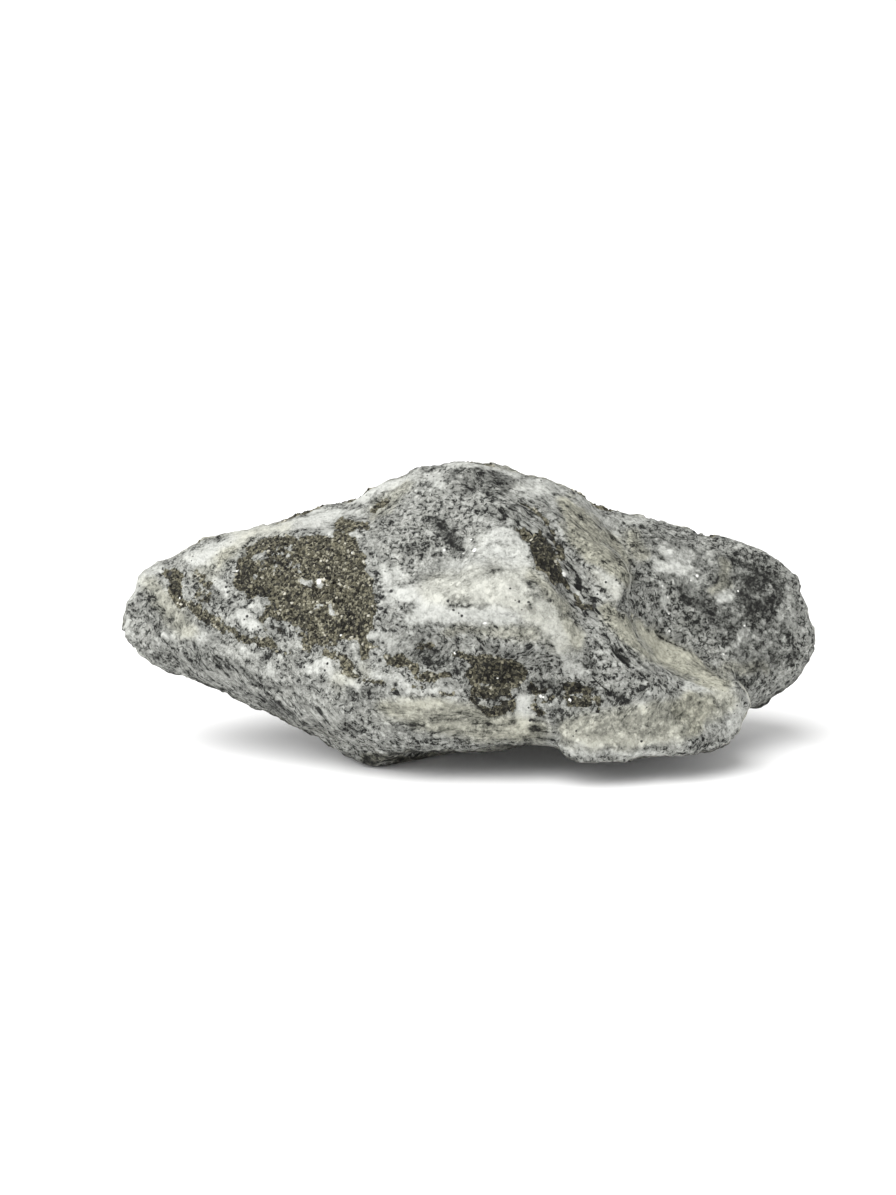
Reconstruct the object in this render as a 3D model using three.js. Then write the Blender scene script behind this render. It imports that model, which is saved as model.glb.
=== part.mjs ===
// Rough lapis lazuli: one hand-sized stone, as it was broken from its bed and a little worn.
// Lengths are millimetres. +X runs along the stone to its blunt end, +Y to its back and +Z up,
// and it rests on z = 0. The stone is grown as a field, negative inside: rough lumps that run
// into each other, ridges laid over them, hollows scooped out, weathered by noise and ground
// flat where it rests. A net of even cells is then drawn over the field's surface.
import * as THREE from "three";
import { ConvexGeometry } from "three/addons/geometries/ConvexGeometry.js";
import { ImprovedNoise } from "three/addons/math/ImprovedNoise.js";

// ---------------------------------------------------------------- driving dimensions
const LENGTH = 132; // tip to blunt end
const DEPTH = 64; // front to back
const HEIGHT = 55; // rest face to crown
const CELL = 2.5; // spacing of the net that covers the stone
const MARGIN = 3; // free cells round the stone, so that the net closes

const EDGE_SOFTNESS = 1; // how far a lump's edges are worn
const SIDES_AT_CORNER = 3; // a lump's sides that meet at a corner, which is worn back to its point
const JOIN_SOFTNESS = 1.7; // how far one lump runs into the next
const SCOOP_SOFTNESS = 1.6; // how far the rim of a hollow is worn

const WEATHER = [
  // wave length and height of the unevenness
  { wave: 17, height: 1.3 },
  { wave: 7.5, height: 0.55 },
];
const BACK_ROUGHNESS = 0.9; // how much rougher the back is than the front

// ---------------------------------------------------------------- the lumps
// Each is a rough block, given by its corners [x, y, z].
const LUMPS = {
  core: [
    [-60, 1, 24], [-50, 6, 35], [-28, 9, 39.6], [-10, 9, 48.6], [4, 8, 51.6], [20, 10, 45.6],
    [30, 12, 41], [50, 10, 35.6], [62, 3, 28], [62, 3, 18], [56, 5, 9], [-44, -12, 21],
    [-24, -20, 18], [0, -22, 28], [20, -18, 26], [38, -9, 22], [-46, 17, 27],
    [-34, 23, 34], [-12, 27, 29], [14, 29, 27], [34, 25, 26], [52, 16, 21],
    [-28, 17, 14], [10, 23, 7], [36, 19, 9], [-16, -10, 0], [-14, 9, -1],
    [6, 15, -1], [26, 13, -1], [29, 5, -1], [14, 3, -1],
  ],
  tapered_end: [
    [-64.4, -1, 22.8], [-64.4, 1, 28.4], [-63.4, 3, 33.6], [-60.4, 3, 36.4], [-53.2, 4, 39],
    [-41, 3, 42.8], [-26, 4, 45], [-41.5, -4.5, 39.4], [-30, -6, 41.4], [-20, -6, 43],
    [-58.5, -7, 22.8], [-42, -16.5, 21.4], [-30, -21, 19], [-20.5, -24.4, 15], [-11, -26.4, 12.5],
    [-42, -15.4, 15.6], [-30, -19.4, 13], [-20.5, -22.2, 9.2], [-12, -24.4, 7.4],
    [-17.4, -13.4, 1.6], [-36, -8, 8], [-53.5, -3, 12.4], [-63.5, -1, 19],
    [-61.5, 9, 27], [-57, 15, 24], [-52, 12, 35.6], [-40, 15, 37.4], [-28, 16, 38.2],
    [-3, -24, 27], [-2, -10, 41], [2, 10, 34], [0, -20, 12],
  ],
  crown: [
    [-16, 4, 50.6], [-8, 2, 53.8], [-2.8, 0, 54.4], [3.8, 0, 54.6], [9.8, 1, 54.2],
    [16.4, 4, 51], [25, 7, 46.2], [29, 9, 42.8], [-26, 7, 44.8], [-16, -10, 40.6],
    [-10, 13, 48.8], [2, 13, 52.4], [12, 13, 50], [22, 14, 45.4],
    [-13, -20, 31.5], [0, -24, 33], [12, -21, 36], [20, -12, 39], [24, -6, 40],
    [-17, 19, 41.4], [4, 23, 43.4], [24, 20, 38], [-8, 26, 30], [20, 25, 28], [4, -10, 20],
  ],
  white_boss: [
    [6.2, -13, 45.4], [9, -15.6, 44.4], [10.4, -18.4, 42.6], [11.6, -22, 38.4], [13.6, -25.6, 33.6],
    [18, -27.4, 28.6], [10.4, -28.4, 33.8], [2.6, -27.4, 32.4], [-1, -22, 38.6],
    [3, -17, 43], [15, -26.8, 24], [5, -26.4, 27], [6, -6, 34], [16, -10, 28], [12, -25.4, 19],
  ],
  white_arm: [
    [-19, -15, 35], [-13, -21.4, 33], [-8.5, -24.4, 30.8], [3, -27.2, 31],
    [5, -26.4, 34.4], [-4, -23.4, 35], [-12, -24, 25], [-16, -22.6, 21], [-6, -25, 19.4],
    [6, -25.8, 19.4], [16, -26, 19], [10, -26.6, 26], [2, -12, 26], [-8, -12, 32],
  ],
  valley_floor: [
    [6, -5, 47.6], [11.8, -10.5, 43.6], [13.2, -15.5, 39], [17.4, -19.5, 33],
    [23, -23, 26.4], [37.4, -25.5, 17.6], [23.3, -27.6, 16.6], [18, -26.2, 24.6],
    [25, -8, 36], [32, -12, 22], [20, 0, 20], [6, -4, 30],
  ],
  blunt_end: [
    [28, 8, 42.6], [34, 7, 42.6], [39, 7, 42.4], [50.6, 6, 38.6], [62.2, 4, 36],
    [64.8, 2, 32.6], [65.6, 0, 26], [67, 0, 20.2], [66.6, 1, 16.8], [63.6, 3, 12],
    [57, 5, 5.2], [53, -8, 11], [36, -11, 24], [29, -4, 37], [44, -4, 30], [61, 13, 23],
    [61, 11, 31], [48, 15, 36], [54, 19, 24], [33, 25, 28], [30, 18, 37], [42, 20, 9],
    [26, 6, 2], [22, 21, 6], [10, 4, 22],
  ],
  lower_lobe: [
    [15.2, -28.6, 8.4], [17, -28.8, 11.2], [17.8, -28.8, 5.2], [24, -28, 4.2],
    [34.5, -28, 4], [42, -25.6, 4.8], [48.4, -20.4, 7.2], [51.4, -16.8, 12.2], [50.4, -17.6, 15],
    [44, -23.4, 16.6], [36, -26.8, 16.6], [27, -29.4, 15], [22, -2, 3.5], [46, -4, 6],
    [26, -6, 20], [46, -8, 18],
  ],
  front_lip: [
    [-20, -23, 14], [-10, -26.4, 13.6], [4, -27.8, 15.4], [15, -28, 14], [17.5, -26.4, 7],
    [10, -26.8, 6.4], [0, -26.8, 5.8], [-12, -23.4, 4.4], [-17, -14, 2.4], [-14, -23.4, 22],
    [4, -26, 21], [18, -26, 21], [0, 0, 22], [20, 0, 20], [14, -8, 4.4], [-12, 0, 2],
  ],
  foot: [
    [-17.4, -15.6, 0.4], [-12, -16.6, -0.6], [-9, -14.4, -0.6], [-4, -6, 0],
    [-15, -14, 6], [-4, -7, 7], [-14, -2, -0.8], [0, 2, -0.8],
  ],
  back_shelf: [
    [-38, 22, 31], [-20, 29, 27], [-2, 32, 22], [14, 31, 15], [30, 26, 12], [33, 25, 19],
    [22, 28, 27], [6, 30, 30], [-12, 28, 37], [-30, 22, 36], [-20, 10, 24], [26, 12, 14],
  ],
};

// ---------------------------------------------------------------- the ridges
// Each is a rounded rib along its points [x, y, z, radius].
const RIDGES = {
  hooked_ridge: [
    [17, 3, 43.2, 4.6], [20.6, -4.4, 38.4, 5.2], [22.8, -10, 34, 4.8],
    [24.2, -14.2, 29.6, 3.8], [28.8, -17.6, 23.6, 3.6], [39.4, -19, 17.6, 3.6],
    [47, -15.4, 13.6, 2.8],
  ],
  nub: [[24.6, -12.2, 36.8, 3.2], [27.4, -14.8, 33.4, 2.9]],
};

// ---------------------------------------------------------------- the hollows
// Each is an egg-shaped scoop: its middle, and its half sizes along X, Y and Z.
const SCOOPS = {
  saddle_left: { middle: [-9, -37.6, 24.4], half: [18, 14, 7] },
  saddle_right: { middle: [15, -39, 20], half: [19, 13.6, 7] },
  blunt_hollow: { middle: [45, -18, 30], half: [15, 13, 12] },
  notch: { middle: [15, -32, 8.4], half: [1.5, 5.4, 4.4] },
  tip_dent: { middle: [-57, -15, 31], half: [8, 9, 7] },
  back_dish: { middle: [-8, 41, 12], half: [20, 15, 11] },
  under_tail: { middle: [-46, 16, 2], half: [26, 24, 15] },
  back_bite: { middle: [44, 30, 36], half: [16, 10, 10] },
};

// ---------------------------------------------------------------- the field
/** Smooth maximum of several distances: edges are worn over about `soft` millimetres. */
function softMax(values, soft) {
  const top = Math.max(...values);
  const sum = values.reduce((total, value) => total + Math.exp((value - top) / soft), 0);
  return top + soft * Math.log(sum);
}

/** Smooth minimum of several distances. */
function softMin(values, soft) {
  return -softMax(values.map((value) => -value), soft);
}

/** The flat sides of the block round some corners, as outward normals and offsets. */
function sidesOf(corners) {
  const hull = new ConvexGeometry(corners.map((corner) => new THREE.Vector3(...corner)));
  const place = hull.getAttribute("position");
  const sides = [];
  for (let i = 0; i < place.count; i += 3) {
    const [a, b, c] = [0, 1, 2].map((k) => new THREE.Vector3().fromBufferAttribute(place, i + k));
    const plane = new THREE.Plane().setFromCoplanarPoints(a, b, c);
    const known = sides.some(
      (side) => side.normal.dot(plane.normal) > 0.999 && Math.abs(side.constant - plane.constant) < 0.3,
    );
    if (!known) sides.push(plane);
  }
  return sides;
}

function blockDistance(sides, point) {
  const worn = softMax(sides.map((side) => side.distanceToPoint(point)), EDGE_SOFTNESS);
  return worn - EDGE_SOFTNESS * Math.log(SIDES_AT_CORNER);
}

/** Distance to a rib whose radius changes evenly from one of its points to the next. */
function ridgeDistance(line, point) {
  let nearest = Infinity;
  for (let i = 0; i + 1 < line.length; i++) {
    const start = new THREE.Vector3(...line[i]);
    const along = new THREE.Vector3(...line[i + 1]).sub(start);
    const share = THREE.MathUtils.clamp(
      point.clone().sub(start).dot(along) / along.lengthSq(), 0, 1,
    );
    const radius = THREE.MathUtils.lerp(line[i][3], line[i + 1][3], share);
    const off = point.distanceTo(start.addScaledVector(along, share)) - radius;
    nearest = Math.min(nearest, off);
  }
  return nearest;
}

function scoopDistance({ middle, half }, point) {
  const [x, y, z] = [0, 1, 2].map((k) => (point.getComponent(k) - middle[k]) / half[k]);
  const reach = Math.hypot(x, y, z);
  const slope = Math.hypot(x / half[0], y / half[1], z / half[2]);
  return slope > 0 ? (reach * (reach - 1)) / slope : -Math.min(...half);
}

const noise = new ImprovedNoise();

/** Unevenness of the surface: the back is a fresher break than the front, and rougher. */
function weather(point) {
  const rough = 1 + BACK_ROUGHNESS * THREE.MathUtils.smoothstep(point.y, 2, 16);
  return WEATHER.reduce((sum, { wave, height }, turn) => {
    const shift = 31.7 * (turn + 1);
    const rise = noise.noise(point.x / wave + shift, point.y / wave, point.z / wave - shift);
    return sum + rise * height * rough;
  }, 0);
}

const blocks = Object.values(LUMPS).map(sidesOf);
const ridges = Object.values(RIDGES);
const scoops = Object.values(SCOOPS);

/** Negative inside the stone, and about the distance to its surface near it. */
function stoneField(point) {
  const solid = softMin(
    [
      ...blocks.map((sides) => blockDistance(sides, point)),
      ...ridges.map((line) => ridgeDistance(line, point)),
    ],
    JOIN_SOFTNESS,
  );
  const scooped = softMax(
    [solid, ...scoops.map((scoop) => -scoopDistance(scoop, point))],
    SCOOP_SOFTNESS,
  );
  return Math.max(scooped + weather(point), -point.z);
}

// ---------------------------------------------------------------- the net over the surface
/** One vertex in each cell that the surface crosses, and a square round each crossed edge. */
function surfaceNet(field, low, high, cell) {
  const count = [0, 1, 2].map((k) => Math.ceil((high[k] - low[k]) / cell) + 1);
  const index = (i, j, k) => (k * count[1] + j) * count[0] + i;
  const at = (i, j, k) =>
    new THREE.Vector3(low[0] + i * cell, low[1] + j * cell, low[2] + k * cell);
  const value = new Float64Array(count[0] * count[1] * count[2]);
  for (let k = 0; k < count[2]; k++)
    for (let j = 0; j < count[1]; j++)
      for (let i = 0; i < count[0]; i++) value[index(i, j, k)] = field(at(i, j, k));

  const corners = [...Array(8).keys()].map((c) => [c & 1, (c >> 1) & 1, (c >> 2) & 1]);
  const edges = [];
  for (let a = 0; a < 8; a++)
    for (const bit of [1, 2, 4]) if (!(a & bit)) edges.push([a, a | bit]);

  const vertices = [];
  const vertexOf = new Map();
  for (let k = 0; k + 1 < count[2]; k++)
    for (let j = 0; j + 1 < count[1]; j++)
      for (let i = 0; i + 1 < count[0]; i++) {
        const values = corners.map(([x, y, z]) => value[index(i + x, j + y, k + z)]);
        const middle = new THREE.Vector3();
        let crossings = 0;
        for (const [a, b] of edges) {
          if (values[a] < 0 === values[b] < 0) continue;
          const share = values[a] / (values[a] - values[b]);
          middle.add(new THREE.Vector3(...corners[a]).multiplyScalar(1 - share));
          middle.add(new THREE.Vector3(...corners[b]).multiplyScalar(share));
          crossings++;
        }
        if (!crossings) continue;
        vertexOf.set(index(i, j, k), vertices.length);
        vertices.push(middle.multiplyScalar(cell / crossings).add(at(i, j, k)));
      }

  const squares = [];
  for (let k = 1; k + 1 < count[2]; k++)
    for (let j = 1; j + 1 < count[1]; j++)
      for (let i = 1; i + 1 < count[0]; i++)
        for (let axis = 0; axis < 3; axis++) {
          const step = [0, 1, 2].map((n) => (n === axis ? 1 : 0));
          const here = value[index(i, j, k)] < 0;
          const there = value[index(i + step[0], j + step[1], k + step[2])] < 0;
          if (here === there) continue;
          const [u, v] = [(axis + 1) % 3, (axis + 2) % 3];
          const ring = [[0, 0], [-1, 0], [-1, -1], [0, -1]].map(([du, dv]) => {
            const cellAt = [i, j, k];
            cellAt[u] += du;
            cellAt[v] += dv;
            return vertexOf.get(index(...cellAt));
          });
          squares.push(here ? ring : ring.reverse());
        }
  return { vertices, squares };
}

/** Moves a vertex onto the surface, along the field's slope. */
function settle(field, vertex) {
  const reach = 0.05;
  for (let turn = 0; turn < 4; turn++) {
    const slope = new THREE.Vector3();
    for (let k = 0; k < 3; k++) {
      const ahead = vertex.clone().setComponent(k, vertex.getComponent(k) + reach);
      const behind = vertex.clone().setComponent(k, vertex.getComponent(k) - reach);
      slope.setComponent(k, (field(ahead) - field(behind)) / (2 * reach));
    }
    const pull = THREE.MathUtils.clamp(field(vertex) / Math.max(slope.lengthSq(), 0.2), -1, 1);
    vertex.addScaledVector(slope, -pull);
  }
  if (Math.abs(vertex.z) < 0.15) vertex.z = 0;
}

/** Evens the net out: each vertex goes to the middle of its neighbours, then back to the surface. */
function relax(field, { vertices, squares }, rounds) {
  for (let round = 0; round < rounds; round++) {
    const sums = vertices.map(() => ({ total: new THREE.Vector3(), count: 0 }));
    for (const ring of squares)
      ring.forEach((from, n) => {
        const to = ring[(n + 1) % 4];
        for (const [a, b] of [[from, to], [to, from]]) {
          sums[a].total.add(vertices[b]);
          sums[a].count++;
        }
      });
    vertices.forEach((vertex, n) => {
      vertex.lerp(sums[n].total.divideScalar(sums[n].count), 0.5);
      settle(field, vertex);
    });
  }
}

/** Each square as two triangles, split along its shorter diagonal. */
function trianglesOf({ vertices, squares }) {
  return squares.flatMap(([a, b, c, d]) =>
    vertices[a].distanceTo(vertices[c]) < vertices[b].distanceTo(vertices[d])
      ? [a, b, c, a, c, d]
      : [a, b, d, b, c, d],
  );
}

function stoneGeometry() {
  const pad = MARGIN * CELL;
  const low = [-LENGTH / 2 - pad, -DEPTH / 2 - pad, -pad];
  const high = [LENGTH / 2 + pad, DEPTH / 2 + pad, HEIGHT + pad];
  const net = surfaceNet(stoneField, low, high, CELL);
  relax(stoneField, net, 3);
  const geometry = new THREE.BufferGeometry()
    .setFromPoints(net.vertices)
    .setIndex(trianglesOf(net));

  // the stone's middle goes over the origin
  geometry.computeBoundingBox();
  const middle = geometry.boundingBox.getCenter(new THREE.Vector3());
  return geometry.translate(-middle.x, -middle.y, 0);
}

// ---------------------------------------------------------------- the part
const stone = new THREE.Mesh(
  stoneGeometry(),
  new THREE.MeshStandardMaterial({ color: 0x9a9a94, roughness: 0.78, metalness: 0 }),
);
stone.name = "stone";

const part = new THREE.Group();
part.add(stone);
export default part;
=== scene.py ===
# Rough lapis lazuli: one broken stone, grey and white rock with tan weathered skin and crusts of
# fine pyrite. Lengths in the lists below are millimetres; the scene itself is in metres.
import math

import bmesh
import bpy
import numpy as np
from mathutils import Matrix, Vector, noise


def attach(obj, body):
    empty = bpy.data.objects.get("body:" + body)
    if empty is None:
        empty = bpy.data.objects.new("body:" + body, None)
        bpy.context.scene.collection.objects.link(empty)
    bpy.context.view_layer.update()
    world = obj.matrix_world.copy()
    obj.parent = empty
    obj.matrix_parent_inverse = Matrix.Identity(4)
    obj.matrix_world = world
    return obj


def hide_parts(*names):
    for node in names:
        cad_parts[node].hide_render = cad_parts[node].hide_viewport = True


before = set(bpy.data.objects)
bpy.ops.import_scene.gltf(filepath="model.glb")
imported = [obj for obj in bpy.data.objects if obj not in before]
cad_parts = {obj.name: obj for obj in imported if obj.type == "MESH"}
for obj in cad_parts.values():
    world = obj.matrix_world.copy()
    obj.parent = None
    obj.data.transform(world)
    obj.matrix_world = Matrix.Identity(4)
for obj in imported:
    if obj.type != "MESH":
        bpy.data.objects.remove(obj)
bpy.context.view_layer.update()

# ------------------------------------------------------------------ the stone's skin
# The real stone is one piece of fine-grained rock, broken from its bed and rubbed a little in
# handling. The solid gives its lumps and hollows; this finer mesh adds what a fingertip would
# feel: worn facets, small pits, fibrous ribs and a few open cracks.
MM = 0.001
SAME_POINT = 0.00001  # metres
FLAT_ENOUGH = math.radians(60)  # two triangles at less than this are joined into one face
SKIN_CUTS = 2  # halvings of the solid's 2.5 mm net, to 0.6 mm
LUMP = (5.5, 0.5)  # spacing and height of the shallow dents
CHIP = (6.5, 0.45)
CHIPLET = (2.6, 0.12)
PIT = (2.2, 0.3)
GRIT = (0.9, 0.12)
FIBRE = (0.9, 0.2)  # spacing and height of the ribs where the rock is fibrous
CRACK_DEPTH = 0.7
NOISE_SHAPE = (0.9, 2.1)  # how fast each finer octave fades, and how much finer it is
UNLIKE_TILTS = 7.3  # how far apart in the noise two neighbouring chips take their tilts from
CHIP_SEED = 3  # without it the noise that tilts the chips follows the clock
noise.seed_set(CHIP_SEED)


def skin_mesh(node):
    """The solid's own mesh, with its loose triangles joined and its net made finer."""
    shape = bmesh.new()
    shape.from_mesh(node.data)
    bmesh.ops.remove_doubles(shape, verts=shape.verts, dist=SAME_POINT)
    bmesh.ops.join_triangles(
        shape,
        faces=shape.faces,
        angle_face_threshold=FLAT_ENOUGH,
        angle_shape_threshold=FLAT_ENOUGH,
    )
    coarse = bpy.data.meshes.new("coarse_skin")
    shape.to_mesh(coarse)
    shape.free()
    holder = bpy.data.objects.new("coarse_skin", coarse)
    bpy.context.scene.collection.objects.link(holder)
    finer = holder.modifiers.new("finer", "SUBSURF")
    finer.levels = SKIN_CUTS
    finer.render_levels = SKIN_CUTS
    finished = holder.evaluated_get(bpy.context.evaluated_depsgraph_get())
    mesh = bpy.data.meshes.new_from_object(finished)
    bpy.data.objects.remove(holder)
    return mesh


def columns(mesh, name, count, kind):
    """One value of the mesh's vertices or normals, as a row of three numbers for each."""
    values = np.zeros(count * 3)
    getattr(mesh, kind).foreach_get(name, values)
    return values.reshape(-1, 3)


skin = skin_mesh(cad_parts["stone"])
spots = columns(skin, "co", len(skin.vertices), "vertices") / MM
outward = columns(skin, "vector", len(skin.vertices), "vertex_normals")

# The patches further on are placed as they look from one place in front of the stone and a
# little above it, in millimetres across and up from the stone's middle.
EYE_HEIGHT = math.radians(11)
EYE_DISTANCE = 316
MIDDLE = np.array([-0.9, 0, 26.3])
PAST_EDGE = 0.05  # how far round the edge the front reaches, as a cosine
FRONT_FADE = 0.35  # and how slowly it ends there
eye_axis = np.array([0, -math.cos(EYE_HEIGHT), math.sin(EYE_HEIGHT)])
eye_up = np.array([0, math.sin(EYE_HEIGHT), math.cos(EYE_HEIGHT)])
eye = MIDDLE + eye_axis * EYE_DISTANCE

from_middle = spots - MIDDLE
scale = EYE_DISTANCE / (EYE_DISTANCE - from_middle @ eye_axis)
seen = np.stack([from_middle[:, 0] * scale, (from_middle @ eye_up) * scale], axis=1)
to_eye = eye - spots
to_eye /= np.linalg.norm(to_eye, axis=1)[:, None]
towards = np.clip((np.sum(outward * to_eye, axis=1) + PAST_EDGE) / FRONT_FADE, 0, 1)
front = towards * towards * (3 - 2 * towards)


def rough(places, spacing, shift=0.0, octaves=3):
    """Soft noise of about -1 to 1, `spacing` millimetres apart; `shift` picks a stretch of it."""
    return np.array(
        [
            noise.fractal(Vector(p / spacing) + Vector((shift, 0, 0)), *NOISE_SHAPE, octaves)
            for p in places
        ]
    )


def facets(places, size, shift=0.0):
    """Flat chips `size` millimetres across, each tilted its own way, of about -1 to 1."""
    heights = []
    for p in places:
        spot = Vector(p / size) + Vector((shift, 0, 0))
        corner = noise.voronoi(spot)[1][0]
        heights.append(2 * noise.noise_vector(corner * UNLIKE_TILTS).dot(spot - corner))
    return np.array(heights)


def to_stroke(places, stroke):
    """Distance from each place to a stroke of [across, up, radius] points, negative inside."""
    nearest = np.full(len(places), 1e9)
    ends = stroke if len(stroke) > 1 else [stroke[0], stroke[0]]
    for (x0, y0, r0), (x1, y1, r1) in zip(ends, ends[1:]):
        start = np.array([x0, y0])
        along = np.array([x1 - x0, y1 - y0])
        length = max(float(along @ along), 1e-9)
        share = np.clip((places - start) @ along / length, 0, 1)
        off = np.linalg.norm(places - start - share[:, None] * along, axis=1)
        nearest = np.minimum(nearest, off - (r0 + (r1 - r0) * share))
    return nearest


# patches run into each other along ragged edges
BEND = (3.2, 0.7)  # spacing and reach of an edge's bends
NOTCH = (1.4, 0.35)  # and of the notches in it
SOFTNESS = 0.6  # millimetres that an edge of 1 fades over
wander = np.stack([rough(spots, BEND[0], shift, 3) for shift in (11, 47, 71)], axis=1)
patch_places = seen + BEND[1] * wander[:, :2]
patch_places += NOTCH[1] * np.stack(
    [rough(spots, NOTCH[0], shift, 2) for shift in (5, 91)], axis=1
)


def laid(base, strokes):
    """`base`, with each stroke's value laid over it where the stone faces the front."""
    result = base.copy()
    for value, edge, stroke in strokes:
        off = to_stroke(patch_places, stroke)
        cover = np.clip(0.5 - off / (SOFTNESS * edge), 0, 1) * front
        result += (value - result) * cover
    return result


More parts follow.
